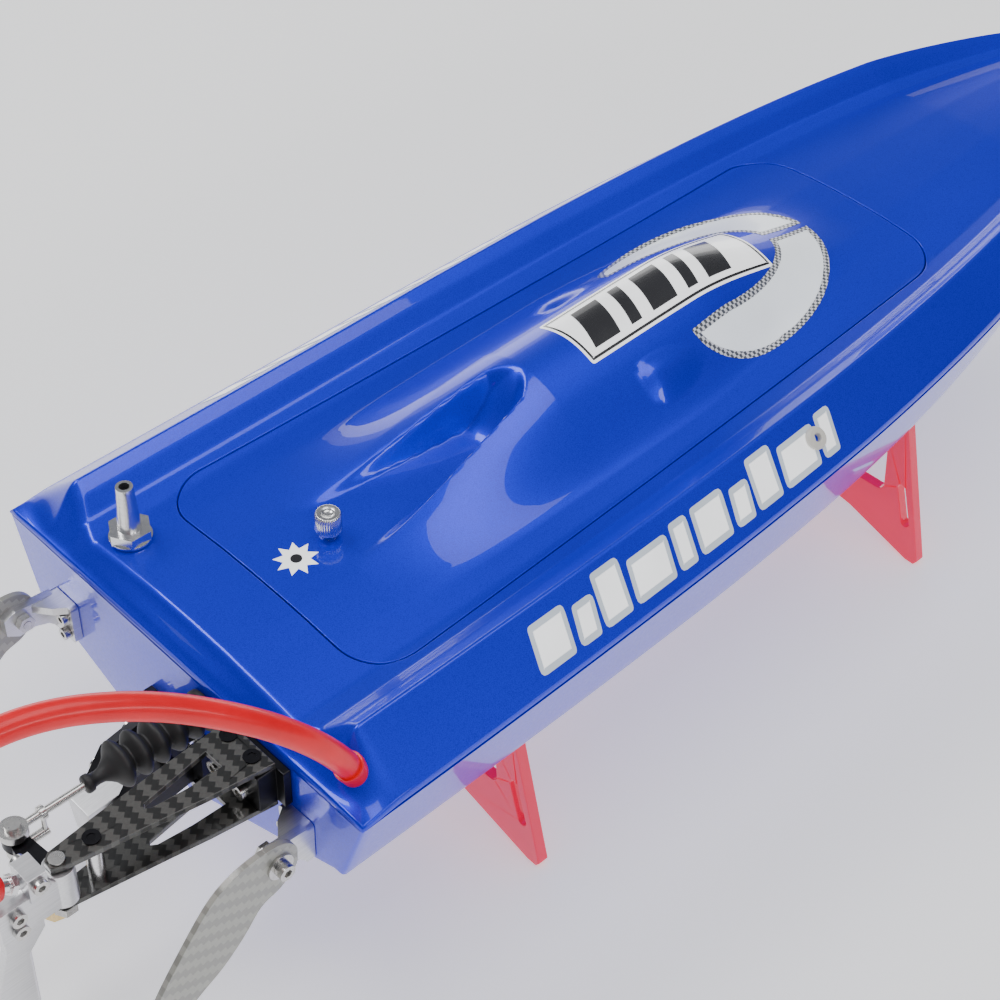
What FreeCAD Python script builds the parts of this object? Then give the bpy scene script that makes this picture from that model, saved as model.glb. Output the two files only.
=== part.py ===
"""Electric deep-V radio-controlled racing boat on its display stand.

Axes: +X towards the bow, +Y to port, +Z up.  Everything is laid out from the
middle of the transom's deck edge and is moved at the end so that the origin is
at the bottom centre of the boat and its stand.
"""
import FreeCAD
import Part
import math
import os

V = FreeCAD.Vector
X_AXIS = V(1, 0, 0)
Y_AXIS = V(0, 1, 0)
Z_AXIS = V(0, 0, 1)

# ---------------------------------------------------------------- hull lines
# station from the transom, half beam, deck edge height, chine half breadth,
# chine height, keel height
HULL_LINES = [
    (0, 88.0, 0.0, 78.0, -30.6, -62.0),
    (60, 87.8, 1.3, 77.8, -30.4, -62.0),
    (120, 87.3, 3.3, 77.2, -29.8, -62.0),
    (180, 86.2, 5.9, 75.8, -28.8, -62.0),
    (240, 83.5, 8.8, 72.6, -27.0, -61.6),
    (300, 77.5, 12.0, 66.0, -24.0, -60.2),
    (350, 69.0, 14.8, 57.0, -20.0, -57.2),
    (395, 57.5, 17.3, 45.5, -14.5, -51.0),
    (430, 45.0, 19.2, 34.0, -8.5, -42.5),
    (460, 31.5, 20.8, 22.5, -2.0, -31.0),
    (485, 18.0, 22.1, 11.8, 5.0, -17.0),
    (500, 8.5, 22.9, 5.0, 11.0, -5.0),
    (508, 2.5, 23.3, 1.3, 16.0, 5.0),
]
STATIONS = [0, 2, 5, 8, 12, 17, 28, 50, 85, 120, 160, 200, 240, 280, 315, 345,
            375, 400, 425, 445, 462, 477, 490, 499, 505, 508]
FULL_BEAM = 88.0
SHELL = 1.5
KEEL_LIFT = 1.65
TRANSOM = 2.4
CHINE_FLAT = 2.8

# Deck section at full beam: distance from the centreline, height above the deck
# edge.  It runs over a low crown, a valley beside the hatch and a raised crease.
DECK_SECTION = [(0, 10.0), (18, 9.7), (36, 8.4), (50, 7.0), (58, 8.6), (64, 13.6),
                (69, 16.5), (88, 0.0)]
DECK_EDGE = 1.5
DECK_BAND = 9.0
DECK_BAND_SIDE = 7.0
DECK_FADE_BEAM = 60.0
DECK_GLUE = 0.05

# ---------------------------------------------------------------- hatch
HATCH_X0, HATCH_X1 = 34.5, 317.0
HATCH_REAR_HALF, HATCH_FRONT_HALF = 54.0, 45.0
HATCH_CORNER = 17.0
HATCH_SKIN = 1.2
HATCH_SEAM = 0.45
SEAL_TOP, SEAL_BOTTOM = 1.35, 2.25
LEDGE_TOP, LEDGE_BOTTOM = 2.5, 4.0
LEDGE_REACH = 7.0
CANOPY_X0, CANOPY_HEAD, CANOPY_ROOF, CANOPY_X1 = 60.0, 146.0, 215.0, 306.0
CANOPY_HEIGHT = 20.0
CANOPY_HALF = 41.0
CHANNEL_HALF, CHANNEL_FLARE, CHANNEL_WALL, CHANNEL_RAMP = 8.5, 9.0, 4.8, 22.0
SCOOP_X, SCOOP_Y, SCOOP_NOSE, SCOOP_TAIL, SCOOP_WIDTH, SCOOP_HEIGHT = 184.0, 26.5, 22.0, 7.0, 7.5, 3.0

THUMB_X = 62.0
THUMB_R = 1.5
THUMB_HEAD_R = 4.35
THUMB_TOP = 9.5
NIPPLE_X, NIPPLE_Y = 17.0, 43.2
GROMMET_X, GROMMET_Y = 8.5, -74.0
GROMMET_AXIS = V(-0.45, 0.0, 0.893)
OUTLET_X, OUTLET_IN = 208.0, 9.5

# ---------------------------------------------------------------- drive line
SHAFT_ORIGIN = V(-60.0, 0.0, -58.0)
SHAFT_SLOPE = math.degrees(math.atan(20.0 / 210.0))
SHAFT_R = 2.0
PROP_R = 19.0
# radius, chord and thickness of a propeller blade
BLADE_STATIONS = [(4.2, 9.0, 1.8), (9.0, 14.0, 1.3), (15.0, 17.0, 0.9), (PROP_R, 8.0, 0.5)]
MOTOR_R = 18.0
BATTERY_TILT = 27.0
BATTERY_Z = -58.2
RUNNING = 0.06
CAN_S0, CAN_S1 = 215.0, 272.0
JACKET_S0, JACKET_S1 = 222.0, 262.0

# ---------------------------------------------------------------- steering
RUDDER_X, RUDDER_Y = -68.5, -39.0
PIVOT_R = 1.95
PUSHROD_Y, PUSHROD_Z = -15.4, -8.4
PUSHROD_R = 1.25
SERVO_X, SERVO_Y = 85.0, -33.0
BELLOWS_LENGTH = 44.0
ARM_TOP_Z, ARM_LOW_Z, ARM_PLATE = -0.5, -17.5, 2.0
SPACERS = [(-57.2, -39.3)]
BLOCK_SCREWS = [(-6.4, -46.5), (-6.4, -35.5)]
YOKE_TOP, YOKE_LOW = ARM_TOP_Z - 0.5, ARM_LOW_Z + ARM_PLATE + 0.5
FIN_Y = 67.0
FIN_PLATE = 2.0
FIN_SCREW = (-15.0, -21.0)
FIN_FOOT_SCREWS = [(56.6, -22.8), (56.6, -29.6)]

# ---------------------------------------------------------------- stand
STAND_FLOOR = -102.0
STAND_X = (86.0, 298.0)
STAND_FOOT_Y = (79.4, 75.6)
STAND_PLATE = 4.5
STAND_GAP = 0.35
SPINE_HALF = 2.25
SPINE_LAP = 30.0
HOSE_R = 4.0
INNER_HOSE_R = 3.0


def span(table, x, column):
    """Smooth value of one column of a table at x, by cubic Hermite spans."""
    last = len(table) - 1
    i = 0
    while i < last - 1 and x > table[i + 1][0]:
        i += 1

    def slope(k):
        a, b = max(k - 1, 0), min(k + 1, last)
        return (table[b][column] - table[a][column]) / (table[b][0] - table[a][0])
    width = table[i + 1][0] - table[i][0]
    t = min(max((x - table[i][0]) / width, 0.0), 1.0)
    p0, p1 = table[i][column], table[i + 1][column]
    m0, m1 = slope(i) * width, slope(i + 1) * width
    return ((2 * t**3 - 3 * t**2 + 1) * p0 + (t**3 - 2 * t**2 + t) * m0
            + (3 * t**2 - 2 * t**3) * p1 + (t**3 - t**2) * m1)


def smooth(t):
    t = min(max(t, 0.0), 1.0)
    return t * t * (3 - 2 * t)


def half_beam(x):
    return span(HULL_LINES, x, 1)


def deck_edge(x):
    return span(HULL_LINES, x, 2)


def deck_rise(x, reach):
    """How much of the deck section stands at station x; the aft band widens outboard."""
    band = DECK_BAND + DECK_BAND_SIDE * smooth((reach - 50.0) / 19.0)
    return smooth(x / band) * min(1.0, half_beam(x) / DECK_FADE_BEAM)


def deck_top(x, y):
    """Height of the deck's upper face."""
    reach = abs(y) * FULL_BEAM / half_beam(x)
    height = DECK_SECTION[-1][1]
    for (y0, z0), (y1, z1) in zip(DECK_SECTION, DECK_SECTION[1:]):
        if y0 <= reach <= y1:
            height = z0 + (z1 - z0) * (reach - y0) / (y1 - y0)
            break
    return deck_edge(x) + DECK_EDGE + height * deck_rise(x, reach)


def hull_floor(x, y):
    """Height of the inside of the hull's bottom."""
    keel = span(HULL_LINES, x, 5) + KEEL_LIFT
    inner = span(HULL_LINES, x, 3) - SHELL - CHINE_FLAT
    chine = span(HULL_LINES, x, 4) + SHELL
    return keel + (chine - keel) * min(abs(y) / inner, 1.0)


def canopy(x, y):
    """Height that the canopy and its two aft buttresses add to the hatch."""
    climb = min(max((x - CANOPY_X0) / (CANOPY_HEAD - CANOPY_X0), 0.0), 1.0)
    aft = 0.4 * climb + 0.6 * smooth(climb)
    front = smooth((CANOPY_X1 - x) / (CANOPY_X1 - CANOPY_ROOF))
    half = CANOPY_HALF * (0.62 + 0.38 * smooth((CANOPY_X1 - x) / 120.0))
    across = min(abs(y) / half, 1.0)
    body = CANOPY_HEIGHT * aft * front * (1 - across**2)**1.6
    wall = 1.0
    behind = CANOPY_HEAD - x
    if behind > 0:
        channel = (CHANNEL_HALF * math.sqrt(min(behind / 9.0, 1.0))
                   + CHANNEL_FLARE * behind / (CANOPY_HEAD - CANOPY_X0))
        wall = 1.0 - smooth((channel - abs(y)) / CHANNEL_WALL) * smooth(behind / CHANNEL_RAMP)
    reach = SCOOP_NOSE if x > SCOOP_X else SCOOP_TAIL
    scoop = ((x - SCOOP_X) / reach)**2 + ((abs(y) - SCOOP_Y) / SCOOP_WIDTH)**2
    bump = SCOOP_HEIGHT * max(0.0, 1 - scoop)**1.5
    return body * wall + bump


# ---------------------------------------------------------------- small helpers
def box(x0, x1, y0, y1, z0, z1):
    return Part.makeBox(x1 - x0, y1 - y0, z1 - z0, V(x0, y0, z0))


def rod(start, end, radius):
    way = end - start
    return Part.makeCylinder(radius, way.Length, start, way)


def pipe(start, end, outer, inner):
    return rod(start, end, outer).cut(rod(start, end, inner))


def plate(points, thickness):
    """Flat plate from an outline, extruded along a vector."""
    outline = Part.makePolygon(points + [points[0]])
    return Part.Face(outline).extrude(thickness)


def rounded(shape, radius, direction):
    """Fillet the straight edges that run along a direction."""
    edges = [e for e in shape.Edges if e.Curve.TypeId == "Part::GeomLine"
             and abs(abs(e.tangentAt(e.FirstParameter).dot(direction)) - 1) < 1e-6]
    return shape.makeFillet(radius, edges)


def join(shapes):
    result = shapes[0]
    for shape in shapes[1:]:
        result = result.fuse(shape)
    return result.removeSplitter()


def loft(sections):
    return Part.makeLoft([Part.makePolygon(s + [s[0]]) for s in sections], True, True)


def hexagon(centre, axis, across_flats, height):
    """Hexagonal prism standing on centre along axis."""
    turn = FreeCAD.Rotation(Z_AXIS, axis)
    radius = across_flats / math.sqrt(3)
    points = [centre + turn.multVec(V(radius * math.cos(math.radians(60 * k)),
                                      radius * math.sin(math.radians(60 * k)), 0)) for k in range(6)]
    return plate(points, axis * height)


def cap_screw(head_base, axis, head_r, head_h, shank_r, shank):
    """Socket head cap screw; axis points out of the head."""
    screw = rod(head_base, head_base + axis * head_h, head_r)
    screw = screw.fuse(rod(head_base - axis * shank, head_base, shank_r))
    return screw.cut(hexagon(head_base + axis * head_h * 0.45, axis, head_r * 0.92, head_h))


def along_shaft(shape):
    """Place a shape built along +X from the propeller's hub onto the drive line."""
    shape.Placement = FreeCAD.Placement(SHAFT_ORIGIN, FreeCAD.Rotation(Y_AXIS, -SHAFT_SLOPE))
    return shape


def shaft_tube(s0, s1, outer, inner):
    return along_shaft(pipe(V(s0, 0, 0), V(s1, 0, 0), outer, inner))


def shaft_rod(s0, s1, radius):
    return along_shaft(rod(V(s0, 0, 0), V(s1, 0, 0), radius))


def flexible(points, radius, label):
    """Hose through route points: straight runs joined by tangent arcs."""
    runs = [b - a for a, b in zip(points, points[1:])]
    edges, start, length, radii = [], points[0], 0.0, []
    for here, before, after in zip(points[1:-1], runs, runs[1:]):
        turn = before.getAngle(after)
        reach = 0.45 * min(before.Length, after.Length)
        into = here - V(before).normalize() * reach
        out = here + V(after).normalize() * reach
        middle = (into + out) * 0.5
        arc_r = reach / math.tan(turn / 2)
        centre = here + (middle - here).normalize() * (arc_r / math.cos(turn / 2))
        through = centre + (here - centre).normalize() * arc_r
        edges.append(Part.LineSegment(start, into).toShape())
        edges.append(Part.Arc(into, through, out).toShape())
        radii.append(round(arc_r, 1))
        length += (into - start).Length + arc_r * turn
        start = out
    edges.append(Part.LineSegment(start, points[-1]).toShape())
    length += (points[-1] - start).Length
    section = Part.Wire(Part.makeCircle(radius, points[0], runs[0]))
    tube = Part.Wire(edges).makePipeShell([section], True, True)
    ratio = tube.Volume / (math.pi * radius**2 * length)
    print(label, "length", round(length, 1), "radii", radii, "volume ratio", round(ratio, 4))
    return tube


# ---------------------------------------------------------------- hull mouldings
def hull_section(x, inset, lift):
    """Closed hull section at x, pulled in by inset, its open top raised by lift."""
    b, edge = half_beam(x) - inset, deck_edge(x)
    chine_y, chine_z, keel = (span(HULL_LINES, x, k) for k in (3, 4, 5))
    outer = chine_y - inset
    inner = max(outer - min(CHINE_FLAT, 0.4 * chine_y), 0.2)
    side = [(b, edge + lift), (outer, chine_z + inset), (inner, chine_z + inset)]
    half = [V(x, y, z) for y, z in side]
    other = [V(x, -y, z) for y, z in reversed(side)]
    return half + [V(x, 0, keel + inset * KEEL_LIFT / SHELL)] + other


def hull_shell():
    outer = loft([hull_section(x, 0.0, 0.0) for x in STATIONS])
    inner_stations = [TRANSOM] + [x for x in STATIONS if 3 < x < 495]
    inner = loft([hull_section(x, SHELL, 2.0) for x in inner_stations])
    shell = outer.cut(inner)
    shell = shell.cut(shaft_rod(40, 90, 3.35))
    return shell.cut(rod(V(-1, PUSHROD_Y, PUSHROD_Z), V(4, PUSHROD_Y, PUSHROD_Z), 3.2))


def deck_slab(top, bottom, stations=STATIONS):
    """Solid between two levels below the deck's upper face."""
    sections = []
    for x in stations:
        scale = half_beam(x) / FULL_BEAM
        rows = [y for y, _ in DECK_SECTION]
        ys = [-y * scale for y in reversed(rows)] + [y * scale for y in rows[1:]]
        upper = [V(x, y, deck_top(x, y) - top) for y in ys]
        lower = [V(x, y, deck_top(x, y) - bottom) for y in reversed(ys)]
        sections.append(upper + lower)
    return loft(sections)


def hatch_prism(grow):
    """Upright prism on the hatch outline, grown by a margin."""
    x0, x1 = HATCH_X0 - grow, HATCH_X1 + grow
    rear, front = HATCH_REAR_HALF + grow, HATCH_FRONT_HALF + grow
    corners = [V(x0, -rear, -40), V(x1, -front, -40), V(x1, front, -40), V(x0, rear, -40)]
    return rounded(plate(corners, V(0, 0, 120)), HATCH_CORNER + grow, Z_AXIS)


def deck_shell():
    deck = deck_slab(0.0, DECK_EDGE - DECK_GLUE).cut(hatch_prism(HATCH_SEAM))
    span_x = [x for x in STATIONS if 14 <= x <= 345]
    wall = deck_slab(0.9, LEDGE_BOTTOM, span_x).common(hatch_prism(2.2).cut(hatch_prism(HATCH_SEAM)))
    ledge = deck_slab(LEDGE_TOP, LEDGE_BOTTOM, span_x)
    ledge = ledge.common(hatch_prism(2.0).cut(hatch_prism(-LEDGE_REACH)))
    deck = deck.fuse(wall).fuse(ledge)
    nipple = nipple_point()
    nipple_bore = rod(nipple - Z_AXIS * 8, nipple + Z_AXIS * 8, 3.05)
    return deck.cut(nipple_bore).cut(grommet_bore()).cut(outlet_bore())


def hatch_skin(offset, thickness, raised=True):
    """Sheet of the hatch surface, with or without its canopy, as a solid of even upright thickness."""
    count_x, count_y = 40, 36
    half, margin = HATCH_REAR_HALF + 2.0, 1.0
    length = HATCH_X1 - HATCH_X0 + 2 * margin
    rows = []
    for i in range(count_x + 1):
        x = HATCH_X0 - margin + length * i / count_x
        ys = [-half + 2 * half * j / count_y for j in range(count_y + 1)]
        rows.append([V(x, y, deck_top(x, y) - offset + (canopy(x, y) if raised else 0.0)) for y in ys])
    surface = Part.BSplineSurface()
    surface.interpolate(rows)
    return surface.toShape().extrude(V(0, 0, -thickness))


def hatch_cover():
    cover = hatch_skin(0.0, HATCH_SKIN).common(hatch_prism(0.0))
    hole = rod(V(THUMB_X, 0, 0), V(THUMB_X, 0, 30), THUMB_R + 0.4)
    x0, x1 = HATCH_X1 - LEDGE_REACH - 6.5, HATCH_X1 - LEDGE_REACH - 0.4
    for y in (-24, 24):
        top = deck_top(x0, abs(y) + 6) - 0.5
        cover = cover.fuse(box(x0, x1, y - 6, y + 6, top - 4.0, top))
    return cover.cut(hole)


def hatch_seal():
    strip = hatch_skin(SEAL_TOP, SEAL_BOTTOM - SEAL_TOP, raised=False)
    return strip.common(hatch_prism(-1.0).cut(hatch_prism(-6.0)))


def thumb_screw():
    """Knurled head, collar under it and an M3 stem."""
    seat = deck_top(THUMB_X, 0) + canopy(THUMB_X, 0) + 0.35
    head = rod(V(THUMB_X, 0, seat + 2.0), V(THUMB_X, 0, seat + THUMB_TOP), THUMB_HEAD_R)
    head = head.makeChamfer(0.5, [e for e in head.Edges if e.Curve.TypeId == "Part::GeomCircle"])
    collar = rod(V(THUMB_X, 0, seat), V(THUMB_X, 0, seat + 2.2), 3.2)
    stem = rod(V(THUMB_X, 0, seat - 9.5), V(THUMB_X, 0, seat + 1), THUMB_R)
    return join([head, collar, stem])


def hatch_crossbar():
    """Bar glued under the opening, with the boss that the thumb screw enters."""
    top = deck_top(THUMB_X, 0) - LEDGE_BOTTOM - 0.1
    bar = box(THUMB_X - 6, THUMB_X + 6, -48.5, 48.5, top - 8.0, top - 6.0)
    boss = rod(V(THUMB_X, 0, top - 9), V(THUMB_X, 0, top - 1), 4)
    ends = [box(THUMB_X - 6, THUMB_X + 6, y - 1.5, y + 1.5, top - 8, top - 2.9) for y in (-47, 47)]
    return join([bar, boss] + ends).cut(rod(V(THUMB_X, 0, 0), V(THUMB_X, 0, 20), THUMB_R + 0.1))


def nipple_point():
    return V(NIPPLE_X, NIPPLE_Y, deck_top(NIPPLE_X, NIPPLE_Y) + 1.1)


def outlet_nipple():
    """Hexagonal water outlet: threaded stem, hexagon, tapered spout."""
    base = nipple_point()
    body = hexagon(base, Z_AXIS, 12.6, 4.2)
    flange = rod(base, base + Z_AXIS * 0.8, 7.0)
    spout = Part.makeCone(3.9, 2.8, 17.0, base + Z_AXIS * 4.2)
    stem = rod(base - Z_AXIS * 9, base, 3.0)
    bore = rod(base - Z_AXIS * 10, base + Z_AXIS * 30, 1.7)
    return join([body, flange, spout, stem]).cut(bore)


def outlet_nut():
    base = nipple_point() - Z_AXIS * 6.6
    return hexagon(base, Z_AXIS, 10.0, 3.0).cut(rod(base, base + Z_AXIS * 3, 3.1))


def grommet_point():
    return V(GROMMET_X, GROMMET_Y, deck_top(GROMMET_X, GROMMET_Y))


def grommet_bore():
    p, a = grommet_point(), GROMMET_AXIS
    return rod(p - a * 12, p + a * 12, 4.6)


def hose_grommet():
    p, a = grommet_point(), GROMMET_AXIS
    sleeve = pipe(p - a * 4.0, p + a * 3.5, 4.5, 2.6)
    lip = pipe(p + a * 1.6, p + a * 3.5, 4.7, 2.6)
    return sleeve.fuse(lip).removeSplitter()


def outlet_frame():
    """Centre of the side outlet on the starboard flank, and its outward axis."""
    y = -(half_beam(OUTLET_X) - OUTLET_IN)
    slope = math.atan2(DECK_SECTION[-2][1], DECK_SECTION[-1][0] - DECK_SECTION[-2][0])
    return V(OUTLET_X, y, deck_top(OUTLET_X, y)), V(0, -math.sin(slope), math.cos(slope))


def outlet_bore():
    p, a = outlet_frame()
    return rod(p - a * 6, p + a * 6, 2.6)


def side_outlet():
    """Low round through-hull outlet with a stem and a bore."""
    p, a = outlet_frame()
    head = rod(p + a * 0.15, p + a * 2.2, 4.0)
    head = head.makeChamfer(0.7, [e for e in head.Edges if e.Curve.TypeId == "Part::GeomCircle"
                                  and (e.CenterOfMass - p).dot(a) > 1])
    return head.fuse(rod(p - a * 8, p + a * 0.2, 2.5)).cut(rod(p - a * 9, p + a * 4, 1.5)).removeSplitter()


# ---------------------------------------------------------------- hoses
def nipple_mouth():
    """Tip of the rudder's water nipple, and the way out of it."""
    way = V(-0.88, 0, 0.475).normalize()
    return V(RUDDER_X - 11.7, RUDDER_Y, 2.0) + way * 8.0, way


def cooling_hose():
    p, a = grommet_point(), GROMMET_AXIS
    mouth, way = nipple_mouth()
    route = [p + a * 3.6, p + a * 18, V(-18, -66, 44), V(-44, -53, 60), V(-73, -42, 67),
             V(-100, -38, 62), V(-118, -37.5, 47), V(-117, -38, 27), mouth + way * 15, mouth + way * 0.1]
    return flexible(route, HOSE_R, "cooling_hose")


def motor_feed_hose():
    """From the grommet inside the hull to the motor's water jacket."""
    p, a = grommet_point(), GROMMET_AXIS
    nipple, way = jacket_nipple(-1)
    route = [p - a * 4.1, p - a * 15, V(24, -66, -17), V(48, -58, -22), V(80, -54, -18), V(112, -42, -8),
             V(140, -26, -4), V(158, -13, -5.5), nipple + way * 0.1]
    return flexible(route, INNER_HOSE_R, "motor_feed_hose")


def motor_return_hose():
    """From the jacket back to the outlet nipple on the deck."""
    base = nipple_point()
    nipple, way = jacket_nipple(1)
    route = [nipple + way * 0.1, V(172, 13, -3), V(150, 24, -2.5), V(122, 36, -7), V(90, 43, -17),
             V(62, 44, -27), V(38, 44.3, -30), V(24, 44.5, -20), base - Z_AXIS * 9.1]
    return flexible(route, INNER_HOSE_R, "motor_return_hose")


# ---------------------------------------------------------------- motor and power
def on_shaft(s, y, n):
    turn = FreeCAD.Rotation(Y_AXIS, -SHAFT_SLOPE)
    return SHAFT_ORIGIN + turn.multVec(V(s, y, n))


def jacket_nipple(side):
    """Tip and direction of one of the jacket's two water nipples."""
    s = JACKET_S0 + 6 if side < 0 else JACKET_S1 - 6
    way = V(-0.62, 0.34 * side, 0.71)
    return on_shaft(s, 0, 19.6) + way * 8.0, way


def motor_can():
    can = along_shaft(pipe(V(CAN_S0, 0, 0), V(CAN_S1, 0, 0), MOTOR_R, MOTOR_R - 2))
    caps = [shaft_tube(CAN_S0, CAN_S0 + 3, MOTOR_R, 2.5 + RUNNING),
            shaft_tube(CAN_S1 - 3, CAN_S1, MOTOR_R, 2.5 + RUNNING)]
    windings = shaft_tube(CAN_S0 + 8, CAN_S1 - 8, MOTOR_R - 2, 11.5)
    return join([can] + caps + [windings])


def motor_rotor():
    magnet = shaft_rod(CAN_S0 + 10, CAN_S1 - 10, 10.8)
    return magnet.fuse(shaft_rod(199, CAN_S1 - 1, 2.5)).removeSplitter()


def motor_jacket():
    jacket = shaft_tube(JACKET_S0, JACKET_S1, 20.6, MOTOR_R + 0.05)
    for side in (1, -1):
        tip, way = jacket_nipple(side)
        jacket = jacket.fuse(rod(tip - way * 8.0, tip, 2.4)).cut(rod(tip - way * 8.0, tip + way, 1.5))
    return jacket.cut(shaft_rod(JACKET_S0 - 1, JACKET_S1 + 1, MOTOR_R + 0.05))


def motor_mount():
    """Upright plate across the V of the hull, bolted to the motor's face."""
    s0, s1 = 210.8, 214.8
    outline = [V(s0, y, n) for y, n in ((0, -21.6), (22, -11.2), (21, -4), (12, 19), (-12, 19),
                                        (-21, -4), (-22, -11.2))]
    face = along_shaft(plate(outline, V(s1 - s0, 0, 0)))
    face = face.cut(shaft_rod(s0 - 1, s1 + 1, 8.0))
    foot_x, foot_length = 132.0, 20.0
    feet = []
    for side in (1, -1):
        low, high = hull_floor(foot_x, 8) + 0.3, hull_floor(foot_x, 21) + 0.3
        outline = [V(foot_x, side * 8, low), V(foot_x, side * 21, high), V(foot_x, side * 21, high + 3),
                   V(foot_x, side * 8, low + 3)]
        feet.append(plate(outline, V(foot_length, 0, 0)))
    return join([face] + feet)


def shaft_coupler():
    """Collet that clamps the flexible shaft to the motor shaft."""
    body = shaft_rod(180, 209.5, 6.0)
    body = body.cut(shaft_rod(179, 196, SHAFT_R)).cut(shaft_rod(199, 210, 2.5))
    flats = along_shaft(box(186, 192, -8, 8, 5.2, 8).fuse(box(186, 192, -8, 8, -8, -5.2)))
    return body.cut(flats)


def esc_case():
    """Speed controller with cooling fins along its top."""
    body = rounded(box(232, 300, -19, 19, -46, -27), 2.0, Z_AXIS)
    fins = [box(236, 296, y - 0.9, y + 0.9, -27.5, -23.5) for y in range(-16, 17, 4)]
    return join([body] + fins)


def esc_leads():
    """Three motor leads, each with its bullet connector."""
    leads = []
    for k, y in enumerate((-8.0, 0.0, 8.0)):
        end = on_shaft(CAN_S1 + 0.7, y, -4 + 1.5 * abs(k - 1))
        start = V(231.8, y, end.z - 1.0)
        leads.append(rod(end, start, 1.9))
    return Part.makeCompound(leads)


def battery(side):
    """Lipo pack lying on the hull's deadrise, beside the motor."""
    pack = rounded(box(134, 262, 36, 75.5, 2.0, 24.0), 3.0, X_AXIS)
    pack.Placement = FreeCAD.Placement(V(0, 0, BATTERY_Z), FreeCAD.Rotation(X_AXIS, BATTERY_TILT))
    return pack if side > 0 else pack.mirror(V(0, 0, 0), Y_AXIS)


def battery_tray(side):
    tray = box(130, 266, 35.0, 76.0, 0.6, 1.9)
    tray.Placement = FreeCAD.Placement(V(0, 0, BATTERY_Z), FreeCAD.Rotation(X_AXIS, BATTERY_TILT))
    return tray if side > 0 else tray.mirror(V(0, 0, 0), Y_AXIS)


def radio_box():
    case = rounded(box(308, 352, -21, 21, -37.5, -16.0), 4.0, Z_AXIS)
    hollow = rounded(box(310, 350, -19, 19, -35.7, -14), 3.0, Z_AXIS)
    return case.cut(hollow)


def radio_lid():
    lid = rounded(box(307, 353, -22, 22, -15.8, -13.4), 5.0, Z_AXIS)
    plug = rounded(box(310.3, 349.7, -18.7, 18.7, -17.6, -15.7), 3.0, Z_AXIS)
    return join([lid, plug])


def receiver():
    board = rounded(box(313, 346, -12, 12, -35.5, -23.5), 2.0, Z_AXIS)
    sockets = [box(314, 319, y - 1.2, y + 1.2, -23.7, -21.9) for y in (-8, -4, 0, 4, 8)]
    return join([board] + sockets)


# ---------------------------------------------------------------- steering gear
def steering_servo():
    body = rounded(box(SERVO_X - 11, SERVO_X + 29, SERVO_Y - 10, SERVO_Y + 10, -35.9, -16.4), 1.0, Z_AXIS)
    ears = box(SERVO_X - 18, SERVO_X + 36, SERVO_Y - 9, SERVO_Y + 9, -22.9, -20.6)
    tower = rod(V(SERVO_X, SERVO_Y, -16.9), V(SERVO_X, SERVO_Y, -14.3), 5.5)
    return join([body, ears, tower])


def servo_mount():
    """Two upright blocks under the servo's ears, shaped to the hull's floor."""
    blocks = []
    for x in (SERVO_X - 18.0, SERVO_X + 30.0):
        y0, y1 = SERVO_Y - 9, SERVO_Y + 9
        low0, low1 = hull_floor(x, y0) + 0.2, hull_floor(x, y1) + 0.2
        outline = [V(x, y0, low0), V(x, y1, low1), V(x, y1, -23.0), V(x, y0, -23.0)]
        blocks.append(plate(outline, V(6, 0, 0)))
    return Part.makeCompound(blocks)


def servo_horn():
    hub = rod(V(SERVO_X, SERVO_Y, -13.9), V(SERVO_X, SERVO_Y, -9.4), 4.0)
    arm = box(SERVO_X - 2.6, SERVO_X + 2.6, SERVO_Y, PUSHROD_Y, -12.8, -10.9)
    tip = rod(V(SERVO_X, PUSHROD_Y, -12.8), V(SERVO_X, PUSHROD_Y, -10.9), 3.4)
    return join([hub, arm, tip])


def pushrod():
    """Steel rod, forked at its aft end: a ball link over the tiller and a clevis under it."""
    z, low = PUSHROD_Z, PUSHROD_Z - 8.4
    wire = rod(V(RUDDER_X + 4, PUSHROD_Y, z), V(SERVO_X - 4, PUSHROD_Y, z), PUSHROD_R)
    eye = rod(V(RUDDER_X, PUSHROD_Y, z - 1.3), V(RUDDER_X, PUSHROD_Y, z + 1.3), 4.4)
    stud = rod(V(RUDDER_X, PUSHROD_Y, z + 1.1), V(RUDDER_X, PUSHROD_Y, z + 3.2), 2.4)
    collar_x = -0.3 - BELLOWS_LENGTH - 15.5
    collar = rod(V(collar_x, PUSHROD_Y, z), V(collar_x + 1.8, PUSHROD_Y, z), 2.3)
    fall = rod(V(collar_x + 0.9, PUSHROD_Y, z), V(collar_x + 0.9, PUSHROD_Y, low), 0.8)
    sleeve = rod(V(collar_x + 1.8, PUSHROD_Y, low), V(RUDDER_X + 2, PUSHROD_Y, low), 1.5)
    fork = rod(V(RUDDER_X, PUSHROD_Y, low - 1.2), V(RUDDER_X, PUSHROD_Y, low + 1.4), 3.4)
    servo_eye = rod(V(SERVO_X, PUSHROD_Y, z - 1.2), V(SERVO_X, PUSHROD_Y, z + 2), 4.0)
    servo_sleeve = rod(V(SERVO_X - 18, PUSHROD_Y, z), V(SERVO_X - 3, PUSHROD_Y, z), 1.9)
    return join([wire, eye, stud, collar, fall, sleeve, fork, servo_eye, servo_sleeve])


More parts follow.
